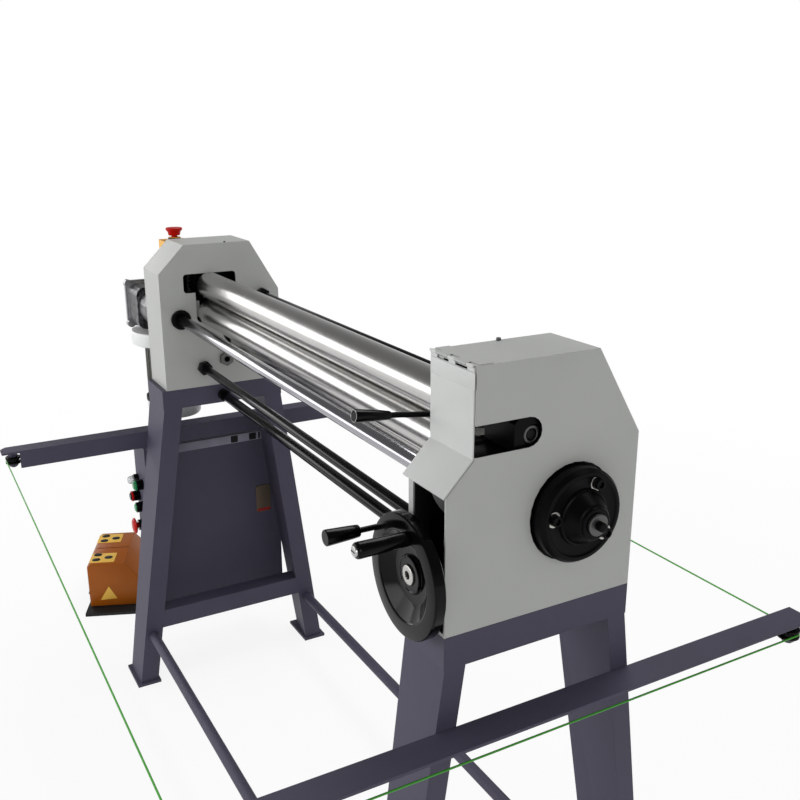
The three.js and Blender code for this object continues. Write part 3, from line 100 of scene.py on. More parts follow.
def finished(bm, name, material, body, replaces=(), sharp=SHARP):
    bmesh.ops.remove_doubles(bm, verts=bm.verts, dist=1e-6)
    bmesh.ops.recalc_face_normals(bm, faces=bm.faces)
    mesh = bpy.data.meshes.new(name)
    bm.to_mesh(mesh)
    bm.free()
    mesh.polygons.foreach_set("use_smooth", [True] * len(mesh.polygons))
    mesh.set_sharp_from_angle(angle=sharp)
    mesh.materials.append(material)
    piece = bpy.data.objects.new(name, mesh)
    bpy.context.scene.collection.objects.link(piece)
    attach(piece, body)
    if replaces:
        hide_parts(*replaces)
    return piece


# %% [markdown]
# Most of this machine is turned on a lathe: rolls, rods, hubs, knobs. A profile is drawn as
# radius and place along the axis, then spun round. The bevel afterwards breaks each sharp corner
# the way a file would, which is what makes metal edges catch the light.

# %% Turning, extruding and easing edges
TO_AXIS = {
    "x": Matrix(((0, 0, 1, 0), (1, 0, 0, 0), (0, 1, 0, 0), (0, 0, 0, 1))),
    "y": Matrix(((0, 1, 0, 0), (0, 0, 1, 0), (1, 0, 0, 0), (0, 0, 0, 1))),
    "z": Matrix.Identity(4),
}
PLACE = {
    "x": lambda u, v: at(0, u, v),
    "y": lambda u, v: at(u, 0, v),
    "z": lambda u, v: at(u, v, 0),
}


def eased(bm, width, angle=30, segments=2):
    """Bevels every edge whose faces meet at more than the angle. The width is in millimetres."""
    limit = math.radians(angle)
    edges = [e for e in bm.edges if len(e.link_faces) == 2 and e.calc_face_angle() > limit]
    bmesh.ops.bevel(
        bm, geom=edges, offset=width / 1000, offset_type="OFFSET", segments=segments,
        profile=0.5, affect="EDGES", clamp_overlap=True, material=-1,
    )
    return bm


def into_frame(bm, axis, centre):
    bmesh.ops.scale(bm, vec=(0.001, 0.001, 0.001), verts=bm.verts)
    bmesh.ops.transform(bm, matrix=TO_AXIS[axis], verts=bm.verts)
    bmesh.ops.translate(bm, vec=PLACE[axis](*centre), verts=bm.verts)
    return bm


def placed(bm, angle, axis, point):
    """Turns a piece that is drawn at the drawing's origin about an axis, then takes it to a point."""
    bmesh.ops.translate(bm, vec=-at(0, 0, 0), verts=bm.verts)
    bmesh.ops.rotate(bm, cent=(0, 0, 0), matrix=Matrix.Rotation(angle, 3, axis), verts=bm.verts)
    bmesh.ops.translate(bm, vec=at(*point), verts=bm.verts)
    return bm


def turned(profile, axis, centre, steps=96, ease=0.0):
    """Spins a profile of (radius, place along the axis) round an axis through the centre."""
    bm = bmesh.new()
    ring = [bm.verts.new((radius, 0, place)) for radius, place in profile]
    pairs = list(zip(ring, ring[1:]))
    if profile[0][0] > 0:
        pairs.append((ring[-1], ring[0]))
    for a, b in pairs:
        bm.edges.new((a, b))
    bmesh.ops.spin(
        bm, geom=bm.verts[:] + bm.edges[:], cent=(0, 0, 0), axis=(0, 0, 1),
        angle=2 * math.pi, steps=steps, use_merge=True,
    )
    bmesh.ops.remove_doubles(bm, verts=bm.verts, dist=1e-4)
    bmesh.ops.recalc_face_normals(bm, faces=bm.faces)
    into_frame(bm, axis, centre)
    return eased(bm, ease, 40) if ease else bm


def rod(radius, span, axis, centre, steps=48, ease=0.4):
    a, b = span
    return turned([(0, a), (radius, a), (radius, b), (0, b)], axis, centre, steps, ease)


def slab(outline, span, axis, ease=0.6):
    """Extrudes an outline: [y, z] points along x, [x, z] along y, [x, y] along z."""
    bm = bmesh.new()
    start, end = span
    points = [(v, u) if axis == "y" else (u, v) for u, v in outline]
    verts = [bm.verts.new((u, v, start)) for u, v in points]
    bmesh.ops.contextual_create(bm, geom=verts)
    grown = bmesh.ops.extrude_face_region(bm, geom=bm.faces[:])
    moved = [g for g in grown["geom"] if isinstance(g, bmesh.types.BMVert)]
    bmesh.ops.translate(bm, vec=(0, 0, end - start), verts=moved)
    bmesh.ops.recalc_face_normals(bm, faces=bm.faces)
    into_frame(bm, axis, (0, 0))
    return eased(bm, ease) if ease else bm


def block(x, y, z, ease=0.6):
    return slab([(x[0], y[0]), (x[1], y[0]), (x[1], y[1]), (x[0], y[1])], z, "z", ease)


def hexagon(flats, span, axis, centre, turn=0):
    corner = flats / math.sqrt(3)
    points = [
        (centre[0] + corner * math.cos(math.radians(turn + 60 * i)),
         centre[1] + corner * math.sin(math.radians(turn + 60 * i)))
        for i in range(6)
    ]
    return slab(points, span, axis, 0.8)


def joined(*parts):
    whole = parts[0]
    for part in parts[1:]:
        mesh = bpy.data.meshes.new("part")
        part.to_mesh(mesh)
        part.free()
        whole.from_mesh(mesh)
        bpy.data.meshes.remove(mesh)
    return whole


def arc(u, v, radius, start, end, steps):
    angles = [math.radians(start + (end - start) * i / steps) for i in range(steps + 1)]
    return [(u + radius * math.cos(a), v + radius * math.sin(a)) for a in angles]


def rounded(u, v, radius, steps=5):
    return (
        arc(u[1] - radius, v[1] - radius, radius, 0, 90, steps)
        + arc(u[0] + radius, v[1] - radius, radius, 90, 180, steps)
        + arc(u[0] + radius, v[0] + radius, radius, 180, 270, steps)
        + arc(u[1] - radius, v[0] + radius, radius, 270, 360, steps)
    )


# %% [markdown]
# Materials come before the pieces. Each one starts from the Principled shader. A fine noise on
# Object coordinates moves the colour and the roughness a little and gives the bump its grain.
# The Bevel node under the bump rounds the CAD plates' razor edges in the shading.

# %% Shader helpers
def shader(name, colour, roughness, metallic=0.0, coat=0.0, specular=0.5):
    material = bpy.data.materials.new(name)
    material.use_nodes = True
    tree = material.node_tree
    surface = tree.nodes["Principled BSDF"]
    surface.inputs["Base Color"].default_value = (*linear(colour), 1)
    surface.inputs["Roughness"].default_value = roughness
    surface.inputs["Metallic"].default_value = metallic
    surface.inputs["Coat Weight"].default_value = coat
    surface.inputs["Coat Roughness"].default_value = 0.08
    surface.inputs["Specular IOR Level"].default_value = specular
    return material, tree, surface


def linear(colour):
    """Screen values from 0 to 255 as the linear numbers that a shader takes."""
    values = [c / 255 for c in colour]
    return [v / 12.92 if v <= 0.04045 else ((v + 0.055) / 1.055) ** 2.4 for v in values]


def noise(tree, scale, stretch=(1, 1, 1), detail=4.0):
    place = tree.nodes.new("ShaderNodeTexCoord")
    mapping = tree.nodes.new("ShaderNodeMapping")
    mapping.inputs["Scale"].default_value = stretch
    texture = tree.nodes.new("ShaderNodeTexNoise")
    texture.inputs["Scale"].default_value = scale
    texture.inputs["Detail"].default_value = detail
    tree.links.new(place.outputs["Object"], mapping.inputs["Vector"])
    tree.links.new(mapping.outputs["Vector"], texture.inputs["Vector"])
    return texture.outputs["Fac"]


def between(tree, value, low, high):
    """Maps a noise value to the range from low to high."""
    node = tree.nodes.new("ShaderNodeMapRange")
    node.inputs["From Min"].default_value = 0.3
    node.inputs["From Max"].default_value = 0.7
    node.inputs["To Min"].default_value = low
    node.inputs["To Max"].default_value = high
    tree.links.new(value, node.inputs["Value"])
    return node.outputs["Result"]


def shades(tree, value, low, high):
    """Mixes two colours by a noise value."""
    ramp = tree.nodes.new("ShaderNodeValToRGB")
    ramp.color_ramp.elements[0].position = 0.3
    ramp.color_ramp.elements[0].color = (*linear(low), 1)
    ramp.color_ramp.elements[1].position = 0.7
    ramp.color_ramp.elements[1].color = (*linear(high), 1)
    tree.links.new(value, ramp.inputs["Fac"])
    return ramp.outputs["Color"]


def grain(tree, surface, height, depth, edge=0.0):
    """Bump from a height value, over edges that are rounded by the given radius in millimetres."""
    bump = tree.nodes.new("ShaderNodeBump")
    bump.inputs["Strength"].default_value = 1.0
    bump.inputs["Distance"].default_value = depth / 1000
    tree.links.new(height, bump.inputs["Height"])
    if edge:
        bevel = tree.nodes.new("ShaderNodeBevel")
        bevel.samples = 6
        bevel.inputs["Radius"].default_value = edge / 1000
        tree.links.new(bevel.outputs["Normal"], bump.inputs["Normal"])
    tree.links.new(bump.outputs["Normal"], surface.inputs["Normal"])


def tinted(colour, step):
    return [max(0, min(255, c + step)) for c in colour]


# %% [markdown]
# Workshop machines are sprayed with a structured paint. Close up it has a fine orange-peel
# texture. From a step away it shows as a soft sheen that is never quite even.

# %% Paints
def paint(name, colour, roughness=0.45, spread=3, depth=0.05, edge=0.9, specular=0.4):
    material, tree, surface = shader(name, colour, roughness, specular=specular)
    cloud = noise(tree, 6, detail=3)
    skin = noise(tree, 900, detail=2)
    tree.links.new(shades(tree, cloud, tinted(colour, -spread), tinted(colour, spread)),
                   surface.inputs["Base Color"])
    tree.links.new(between(tree, cloud, roughness - 0.05, roughness + 0.06), surface.inputs["Roughness"])
    grain(tree, surface, skin, depth, edge)
    return material


GREY = (170, 172, 169)
# near black for the faces inside the housings: painted shade
CAVITY_SHADE = (9, 9, 10)
flap_paint = paint("pale flap paint", (192, 194, 192), 0.36, depth=0.02)
slate_paint = paint("slate stand paint", (68, 65, 82), 0.6, spread=4, specular=0.3)
orange_paint = paint("orange pedal paint", (150, 78, 10), 0.38, spread=6, edge=1.5, specular=0.25)
motor_paint = paint("grey motor paint", (112, 112, 108), 0.5, spread=6, edge=0.5)
fan_paint = paint("white motor paint", (226, 227, 227), 0.4, edge=0.6)
# lighter, blotchy slate for the cabinet's ledge: painted highlight
ledge_highlight_paint = paint("slate paint with painted ledge highlight", (116, 114, 128), 0.5, spread=26, specular=0.3)
yellow_plastic = paint("yellow box plastic", (222, 164, 28), 0.4, depth=0.01, edge=1.2)
print(len(bpy.data.materials), "materials so far")

# %% [markdown]
# The outside of each housing is sprayed grey. Its inside is painted near black as shade, the
# darkness of the cavity seen through the slots. A face is inside if it looks towards the middle of
# the housing, or if it lies within the cavity. Both tests read Object coordinates and the object's
# own normals, so they hold from any side.


# %% Housing paint with painted shade inside
def math_node(tree, operation, *values):
    node = tree.nodes.new("ShaderNodeMath")
    node.operation = operation
    for socket, value in zip(node.inputs, values):
        if isinstance(value, (int, float)):
            socket.default_value = value
        else:
            tree.links.new(value, socket)
    return node.outputs["Value"]


def vector_node(tree, operation, *values):
    node = tree.nodes.new("ShaderNodeVectorMath")
    node.operation = operation
    for socket, value in zip(node.inputs, values):
        if isinstance(value, Vector):
            socket.default_value = value
        else:
            tree.links.new(value, socket)
    return node.outputs["Value" if operation in ("DOT_PRODUCT", "LENGTH") else "Vector"]


def recoloured(tree, where):
    """Gives the base colour a second colour where a mask is 1, and returns that colour's socket."""
    colour = tree.nodes["Principled BSDF"].inputs["Base Color"]
    mix = tree.nodes.new("ShaderNodeMix")
    mix.data_type = "RGBA"
    tree.links.new(where, mix.inputs["Factor"])
    tree.links.new(colour.links[0].from_socket, mix.inputs["A"])
    tree.links.new(mix.outputs["Result"], colour)
    return mix.inputs["B"]


def housing_paint_with_shade(name, middle, low, high):
    material = paint(name, GREY, 0.42)
    tree = material.node_tree
    place = tree.nodes.new("ShaderNodeTexCoord")
    away = vector_node(tree, "SUBTRACT", place.outputs["Object"], at(*middle))
    facing = vector_node(tree, "DOT_PRODUCT", away, place.outputs["Normal"])
    centre, half = (at(*low) + at(*high)) / 2, (at(*high) - at(*low)) / 2
    offset = vector_node(tree, "ABSOLUTE", vector_node(tree, "SUBTRACT", place.outputs["Object"], centre))
    past = tree.nodes.new("ShaderNodeSeparateXYZ")
    tree.links.new(vector_node(tree, "SUBTRACT", offset, half), past.inputs["Vector"])
    sideways = math_node(tree, "MAXIMUM", past.outputs["X"], past.outputs["Y"])
    outside = math_node(tree, "MAXIMUM", sideways, past.outputs["Z"])
    shaded_inside = math_node(tree, "MAXIMUM", math_node(tree, "LESS_THAN", facing, 0.0),
                       math_node(tree, "LESS_THAN", outside, 0.0))
    # faces inside the cavity take the near black: painted shade
    recoloured(tree, shaded_inside).default_value = (*linear(CAVITY_SHADE), 1)
    return material


# each housing's middle, then the low and the high corner of its cavity
near_paint_and_shade = housing_paint_with_shade("near housing paint and painted cavity shade", (725, -60, 1117), (657.5, -185, 858), (738.7, 60, 1218))
far_paint_and_shade = housing_paint_with_shade("far housing paint and painted cavity shade", (-650, -24, 1105), (-763.5, -110, 858), (-644.5, 110, 1160))

# %% [markdown]
# The rolls are ground between centres and polished. Grinding leaves rings round the roll, far
# too fine to see one by one, but they draw each highlight out along its length. Noise squeezed
# along X gives those rings, and a second, wider one gives the faint bands that handling leaves.

# %% Ground and turned metal
def metal(name, colour, roughness, along, rings, depth, wear=0.06, edge=0.5, spread=6):
    material, tree, surface = shader(name, colour, roughness, metallic=1.0)
    fine = noise(tree, rings, along, detail=3)
    bands = noise(tree, 9, along, detail=4)
    worn = between(tree, bands, roughness - wear / 2, roughness + wear)
    tree.links.new(worn, surface.inputs["Roughness"])
    tree.links.new(shades(tree, bands, tinted(colour, -spread), tinted(colour, spread)),
                   surface.inputs["Base Color"])
    grain(tree, surface, fine, depth, edge)
    return material


ROUND_X = (1, 0.05, 0.05)
ROUND_Y = (0.05, 1, 0.05)
EVEN = (1, 1, 1)
ground_steel = metal("ground roll steel", (192, 191, 189), 0.23, ROUND_X, 260, 0.001, 0.02, spread=3)
bar_chrome = metal("bar chrome", (164, 164, 169), 0.14, ROUND_X, 260, 0.001, 0.02, spread=3)
dull_steel = metal("dull steel", (92, 92, 91), 0.42, EVEN, 300, 0.004)
turned_steel = metal("turned steel", (176, 174, 170), 0.3, ROUND_X, 300, 0.004)
bright_steel = metal("bright hub steel", (188, 186, 182), 0.28, ROUND_Y, 300, 0.004)
zinc = metal("zinc plated screws", (186, 186, 184), 0.3, EVEN, 200, 0.004, 0.1)
cast_aluminium = metal("cast aluminium", (150, 150, 153), 0.34, EVEN, 90, 0.9, 0.12, 1.2)
plate_silver = metal("bare plate", (104, 92, 80), 0.5, (1, 1, 0.05), 300, 0.004, 0.1)

# %% [markdown]
# The worm box is cast with a bright machined flange at its end. Behind the flange the ribbed
# casting is painted darker as shade, mottled with painted light and shade for its ribs. One casting
# carries both, so its colour changes at a place along X.

# %% Worm box casting, painted shade behind its bright flange
FLANGE_BACK = -944
cast_tree = cast_aluminium.node_tree
cast_place = cast_tree.nodes.new("ShaderNodeTexCoord")
cast_parts = cast_tree.nodes.new("ShaderNodeSeparateXYZ")
cast_tree.links.new(cast_place.outputs["Object"], cast_parts.inputs["Vector"])
shaded_behind_flange = math_node(cast_tree, "GREATER_THAN", cast_parts.outputs["X"], at(FLANGE_BACK, 0, 0).x)
# dark mottled colour behind the flange: painted shade, with painted highlights on the ribs
rib_shade_mottle = shades(cast_tree, noise(cast_tree, 70, detail=2), (34, 34, 36), (98, 98, 101))
cast_tree.links.new(rib_shade_mottle, recoloured(cast_tree, shaded_behind_flange))

# %% [markdown]
# The flanges, blocks, gears and nuts are blackened steel: dark, with a low oily sheen. The wheel
# and the knobs are phenolic plastic, just as dark but glossier, with a polish that shows each lamp.


# %% Black steel and plastics
def dark(name, colour, roughness, depth=0.01, coat=0.0, edge=0.8, specular=0.3, ior=1.5):
    material, tree, surface = shader(name, colour, roughness, coat=coat, specular=specular)
    surface.inputs["IOR"].default_value = ior
    cloud = noise(tree, 14, detail=4)
    skin = noise(tree, 500, detail=3)
    tree.links.new(shades(tree, cloud, tinted(colour, -3), tinted(colour, 3)), surface.inputs["Base Color"])
    tree.links.new(between(tree, cloud, roughness - 0.05, roughness + 0.08), surface.inputs["Roughness"])
    grain(tree, surface, skin, depth, edge)
    return material


black_oxide = dark("blackened steel", (6, 6, 7), 0.34, 0.015, specular=0.4, ior=1.18)
rod_black = dark("black tie rods", (5, 5, 6), 0.17, 0.003, specular=0.5, ior=1.24)
phenolic = dark("phenolic plastic", (6, 6, 7), 0.13, 0.004, edge=0, specular=0.5, ior=1.22)
rubber = dark("moulded rubber", (22, 22, 23), 0.62, 0.03)
# near black for the insides of sockets, the screw slot and the cut-outs: painted shade; the rivets take it as
# their own dark colour
shade_and_rivet_black = dark("painted hole shade and black rivets", (6, 6, 7), 0.7)
red_plastic = dark("red button plastic", (176, 8, 6), 0.3, 0.003, edge=0, ior=1.3)
green_plastic = dark("green button plastic", (24, 132, 74), 0.3, 0.003, coat=0.3, edge=0)
wire_green = dark("green coated wire", (66, 152, 48), 0.42, 0.01, edge=0)
decal_yellow = dark("bare yellow decal", (222, 176, 74), 0.4, 0.002, edge=0)
red_band = dark("bare red band", (140, 26, 22), 0.5, 0.002, edge=0)

# %% [markdown]
# The lamp on the cabinet is a clear moulded lens. Fine ripples break up what is behind it, so some
# transmission with a little roughness reads better than perfect glass at this size.

# %% Clear lens
clear_lens, lens_tree, lens_surface = shader("clear lamp lens", (232, 236, 236), 0.12, coat=0.3)
lens_surface.inputs["Transmission Weight"].default_value = 0.6
lens_surface.inputs["IOR"].default_value = 1.46
grain(lens_tree, lens_surface, noise(lens_tree, 300), 0.05)

# %% [markdown]
# Flat plate work is already right in the CAD model: the housings, the stands, the arms and the
# cabinet. Those nodes stay, and only take their finish.

# %% Finishes for the CAD nodes that stay
FINISHES = {
    near_paint_and_shade: ["near_housing"],
    far_paint_and_shade: ["far_housing", "far_back_plate"],
    flap_paint: ["flap_cover"],
    slate_paint: ["stand_far", "stand_near", "arm_far", "arm_near", "cabinet", "cabinet_door"],
    turned_steel: ["drive_shaft"],
    dull_steel: ["hex_bush"],
    black_oxide: ["top_gear", "lower_gear", "top_bearing_near", "top_bearing_far", "lower_bearing_near",
                  "lower_bearing_far", "rear_bearing_near", "rear_carrier_far", "lower_lever", "upper_lever"],
    rubber: ["pedal_base", "treadle_right", "treadle_left"],
    wire_green: ["trip_wire"],
    plate_silver: ["rating_plate"],
    cast_aluminium: ["gearbox"],
    yellow_plastic: ["estop_box"],
}
for finish, names in FINISHES.items():
    for name in names:
        nodes[name].data.materials.clear()
        nodes[name].data.materials.append(finish)
print(sum(len(n) for n in FINISHES.values()), "nodes keep their CAD shape")

# %% [markdown]
# A roll is one bar: the body is ground to size and its ends are turned down to journals. A small
# chamfer at each shoulder keeps it from cutting the sheet. At the near end the top roll's stub
# shows through the housing's slot, with its centre hole, whose inside is painted shade.

# %% Rolls
ROLL = 33.65
ROLL_END = 625
TOP_ROLL = (-23, 1117)
LOWER_ROLL = (-24, 1047)
REAR_ROLL = (55.7674, 976.0241)


def roll_profile(far_radius, far_end, near_steps):
    body = [(0, far_end), (far_radius, far_end), (far_radius, -ROLL_END), (ROLL - 1.5, -ROLL_END),
            (ROLL, -ROLL_END + 1.5), (ROLL, ROLL_END - 1.5), (ROLL - 1.5, ROLL_END)]
    return body + near_steps


def ground_roll(which, centre, far_radius, far_end, near_steps):
    bar = turned(roll_profile(far_radius, far_end, near_steps), "x", centre, 128)
    finished(bar, which + "_roll_ground", ground_steel, which + "_roll_body", [which + "_roll"])


JOURNAL_END = 702
JOURNAL = [(15, ROLL_END), (15, JOURNAL_END), (0, JOURNAL_END)]
ground_roll("top", TOP_ROLL, 15, -732, JOURNAL)
top_end = turned(
    [(0, JOURNAL_END + 0.2), (15, JOURNAL_END + 0.2), (15, 725), (13.8, 726), (13.8, 732.6), (12.6, 734),
     (9.4, 734), (8.6, 733.2), (8.6, 724), (0, 724)],
    "x", TOP_ROLL, 64,
)
finished(top_end, "top_roll_end", dull_steel, "top_roll_body")
# the centre hole's inside is a dark hexagon: painted shade
finished(hexagon(13.4, (724.1, 733), "x", TOP_ROLL, 12), "top_roll_socket_shade", shade_and_rivet_black, "top_roll_body")
ground_roll("lower", LOWER_ROLL, 15, -692, JOURNAL)
ground_roll("rear", REAR_ROLL, 14, -684, [(18, ROLL_END), (18, 710), (0, 710)])

# %% [markdown]
# Three black rods and one bright bar hold the housings apart. Two of the rods carry hexagon lock
# nuts against the plates, and the lowest has round collars. The bar sits in two black flanges.

# %% Rods, bar and flanges
NUT = 33  # across the flats
NUT_HIGH = 16
COLLAR_HIGH = 20
FLANGE_HIGH = 10
ROD_SPAN = (FAR_IN - 9, NEAR_PLATE + 10)
GAP = 0.3  # between two pieces that touch


def nutted(name, radius, centre, turn):
    parts = [rod(radius, ROD_SPAN, "x", centre)]
    for start in (FAR_IN + GAP, NEAR_PLATE - GAP - NUT_HIGH):
        parts.append(hexagon(NUT, (start, start + NUT_HIGH), "x", centre, turn))
    return finished(joined(*parts), name + "_turned", rod_black, "frame", [name])


nutted("tie_rod_front", 10.5, (-49, 902), 8)
nutted("tie_rod_rear", 10, (118, 1080), 30)
LOW_ROD = (-2, 823)
low_parts = [rod(12, (FAR_IN - 4, NEAR_IN + 4), "x", LOW_ROD)]
for start in (FAR_IN + GAP, NEAR_IN - GAP - COLLAR_HIGH):
    end = start + COLLAR_HIGH
    low_parts.append(turned([(12, start), (15, start), (15, end), (12, end)], "x", LOW_ROD, 48, 0.8))
finished(joined(*low_parts), "tie_rod_low_turned", rod_black, "frame", ["tie_rod_low"])

BAR = (-102, 1034.6)
finished(rod(13.3, ROD_SPAN, "x", BAR, 72), "front_bar_polished", bar_chrome, "frame",
         ["front_bar"])
for name, start in (("bar_flange_far", FAR_IN + GAP), ("bar_flange_near", NEAR_PLATE - GAP - FLANGE_HIGH)):
    end = start + FLANGE_HIGH
    ring = turned([(13.5, start), (25, start), (25, end), (13.5, end)], "x", BAR, 64, 0.8)
    finished(ring, name + "_turned", black_oxide, "frame", [name])

# %% [markdown]
# The low tubes tie the stands together near the floor. Each is a plain painted tube that runs
# into the legs, and the CAD node's box says where its axis lies.

# %% Low tie tubes
TUBE_SPAN = (-667, 667)
for name in ("tie_tube_front", "tie_tube_rear"):
    low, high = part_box(name)
    centre = (1000 * (low.y + high.y) / 2, 1000 * (low.z + high.z) / 2)
    tube = rod(13, TUBE_SPAN, "x", centre, 40)
    finished(tube, name + "_painted", slate_paint, "frame", [name])

# %% [markdown]
# The big black hub is bolted to the near carrier. It is a lathe part with a bevelled rim, a sunk
# ring for the screws, a cone and a boss. Three socket screws with bright washers hold it. The
# carrier's steel nose and its dark retaining bolt stand out of the middle.

# %% Hub on the near housing
HUB = (47, 994)
HUB_FACE = 768
HUB_SEAT = HUB_FACE - 2.4  # the sunk ring
HUB_ANGLES = (173, 64, -38)
hub = turned(
    [(16.3, 740.4), (68, 740.4), (70, 742), (70, HUB_FACE - 7), (65.5, HUB_FACE - 0.6), (63.5, HUB_FACE),
     (59.5, HUB_FACE), (57.5, HUB_SEAT), (42.5, HUB_SEAT), (41, HUB_FACE + 1.6), (38.5, HUB_FACE + 3),
     (27, 789.4), (24.8, 790.6), (23.5, 792.5), (23.5, 794.2), (22.6, 795), (16.3, 795)],
    "x", HUB, 128, 0.4,
)
finished(hub, "hub_turned", black_oxide, "rear_carriers", ["hub_flange"],
         sharp=math.radians(18))
for i, angle in enumerate(HUB_ANGLES):
    centre = arc(*HUB, 51, angle, angle, 1)[0]
    head = turned([(4.7, 766), (4.7, 775), (7.3, 775), (8, 774.2), (8, 766)], "x", centre, 48, 0.2)
    finished(head, f"hub_screw_{i + 1}", black_oxide, "rear_carriers")
    # each screw's socket is a dark hexagon: painted shade
    finished(hexagon(8.4, (766.2, 771), "x", centre), f"hub_socket_shade_{i + 1}", shade_and_rivet_black,
             "rear_carriers")
    washer = turned([(8.1, 765.4), (11.6, 765.4), (11.6, 766.8), (8.1, 766.8)], "x", centre, 48, 0.3)
    finished(washer, f"hub_washer_{i + 1}", turned_steel, "rear_carriers")
carrier = turned(
    [(0, 646), (58, 646), (58, 662), (45, 662), (45, 665), (52, 665), (52, 697), (45, 697), (45, 720),
     (50, 720), (50, 740), (16, 740), (16, 799), (15, 800), (0, 800)],
    "x", HUB, 96,
)
finished(carrier, "carrier_turned", dull_steel, "rear_carriers", ["rear_carrier_near"])
bolt = turned([(0, 810), (5.8, 810), (6.9, 809), (6.9, 800.1), (0, 800.1)], "x", HUB, 40, 0.2)
finished(bolt, "nose_bolt", black_oxide, "rear_carriers")

# %% [markdown]
# The handwheel is a heavy dished disc with a thick flat rim and a grooved hub. Its grip turns on
# a pin with a bright screw at its end. The shaft's end shows bright in the hub, with its socket.

# %% Handwheel
WHEEL = (681, 925)
WHEEL_FACE = -195
wheel = turned(
    [(10.3, -170), (27, -170), (30, -175), (86, -176), (90, -179), (90, -192), (88.5, -194.4),
     (86, WHEEL_FACE), (68, WHEEL_FACE), (66.3, -194.5), (65, -193), (47, -181.5), (43, -179.6), (38, -179),
     (29, -179), (28, -180), (27.6, -183), (26.6, -184), (24.6, -184), (23.6, -183.2), (16, -183),
     (14.9, -182.4), (10.3, -182.4)],
    "y", WHEEL, 160, 0.0,
)
GRIP = (698, 989)
handle_boss = rod(10.4, (WHEEL_FACE, -184), "y", GRIP, 48, 0.4)
finished(joined(wheel, handle_boss), "handwheel_moulded", phenolic, "handwheel_body",
         ["handwheel"], sharp=math.radians(14))
shaft = turned(
    [(0, -181.6), (6.2, -181.6), (6.2, -184.6), (9.2, -185), (10, -184), (10, 17), (16, 21), (16, 73),
     (10, 77), (10, 135), (0, 135)],
    "y", WHEEL, 64,
)
finished(shaft, "handwheel_shaft_turned", bright_steel, "handwheel_body", ["handwheel_shaft"])
hub_end = turned(
    [(6.3, -186.2), (11.5, -186.4), (14.2, -185.6), (14.6, -183.2), (10.2, -183.2), (6.3, -184)],
    "y", WHEEL, 64, 0.2,
)
finished(hub_end, "handwheel_bright_end", bright_steel, "handwheel_body")
# the shaft's socket is a dark hexagon: painted shade
finished(hexagon(10.4, (-183, -181.7), "y", WHEEL), "handwheel_socket_shade", shade_and_rivet_black, "handwheel_body")
grip = turned(
    [(4.3, -195.3), (9.6, -195.3), (10.4, -196.2), (11.6, -268), (11.3, -271.2), (10, -273), (4.3, -273)],
    "y", GRIP, 64,
)
finished(grip, "handle_grip_moulded", phenolic, "handle", ["handle_grip"])
cap = joined(
    turned([(0, -276.3), (5.6, -276.3), (7.4, -275.4), (8, -273.3), (0, -273.3)], "y", GRIP, 40),
    rod(3.9, (-274, -186), "y", GRIP, 32, 0),
)
finished(cap, "handle_screw", zinc, "handwheel_body")
# the screw's slot is a dark strip: painted shade
finished(block((692.6, 703.4), (-276.6, -276.1), (988.2, 989.8), 0.0), "handle_screw_slot_shade", shade_and_rivet_black,
         "handwheel_body")


# %% [markdown]
# Both levers are a round black bar screwed into a hub, with a tapered phenolic knob on the end.
# The upper knob's free end has a bright steel ring. The levers lie at a slant, so each knob is
# turned along Z at the origin and then tilted onto its own line.

# %% Levers
LEVERS = {
    "upper": {"pin": (612, -80, 1122), "angle": 7.6, "grip": (95, 151), "root": 6.3, "end": 9.5},
    "lower": {"pin": (594, -125, 963), "angle": 0.4, "grip": (91, 144), "root": 9.2, "end": 12.0},
}
for which, lever in LEVERS.items():
    body = which + "_lever_body"
    tilt = math.radians(90 - lever["angle"])
    start, end = lever["grip"]
    root, wide = lever["root"], lever["end"]
    knob = turned(
        [(4.5, start), (root - 0.7, start), (root, start + 1), (root + (wide - root) * 0.3, start + 12),
         (wide, end - 3), (wide - 0.2, end - 1.2), (wide - 1, end - 0.4), (0, end - 0.4), (0, start + 25.3),
         (4.5, start + 25.3)],
        "z", (0, 0), 64,
    )
    finished(placed(knob, tilt, "X", lever["pin"]), f"{which}_lever_knob", phenolic, body,
             [f"{which}_lever_grip"])
    if which == "lower":
        continue
    rim = turned([(wide - 1.4, end - 0.5), (wide - 0.9, end - 0.5), (wide - 0.9, end), (wide - 1.4, end)],
                 "z", (0, 0), 64)
    finished(placed(rim, tilt, "X", lever["pin"]), f"{which}_lever_rim", zinc, body)

# %% [markdown]
# The trip wire runs over four V-grooved pulleys under the cross arms. Pulling the wire anywhere
# along its length stops the machine, so it is bright green and always in reach.

# %% Pulleys
for node in ("pulley_far_front", "pulley_far_rear", "pulley_near_front", "pulley_near_rear"):
    low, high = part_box(node)
    middle = (low + high) / 2
    centre = (1000 * (middle.x - SHIFT), 1000 * middle.y)
    z = 1000 * middle.z
    wheel = turned(
        [(5.3, z - 9), (17.5, z - 9), (19, z - 7.5), (19, z - 4.5), (18.4, z - 3.8), (15, z - 1.7),
         (15, z + 1.7), (18.4, z + 3.8), (19, z + 4.5), (19, z + 7.5), (17.5, z + 9), (5.3, z + 9)],
        "z", centre, 64,
    )
    body = nodes[node]["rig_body"]
    finished(wheel, node + "_turned", phenolic, body, [node])

# %% [markdown]
# The cabinet's narrow side carries the lamp and the buttons. Each button is a cap in a coloured
# ring on a black barrel. The mushroom is the stop that is hit with the palm.

# %% Cabinet buttons
PANEL = -190
COLUMNS = (-869, -819)  # where the two rows of buttons stand along X
LAMP = (COLUMNS[0], 537)
MUSHROOM = (COLUMNS[0], 395)
BUTTONS = (  # name, place, cap, ring, slot
    ("button_start", (COLUMNS[1], 537), green_plastic, green_plastic, "green_plastic"),
    ("button_jog", (COLUMNS[1], 471), green_plastic, phenolic, "green_plastic"),
    ("button_stop", (COLUMNS[0], 487), phenolic, red_plastic, "black_plastic"),
)


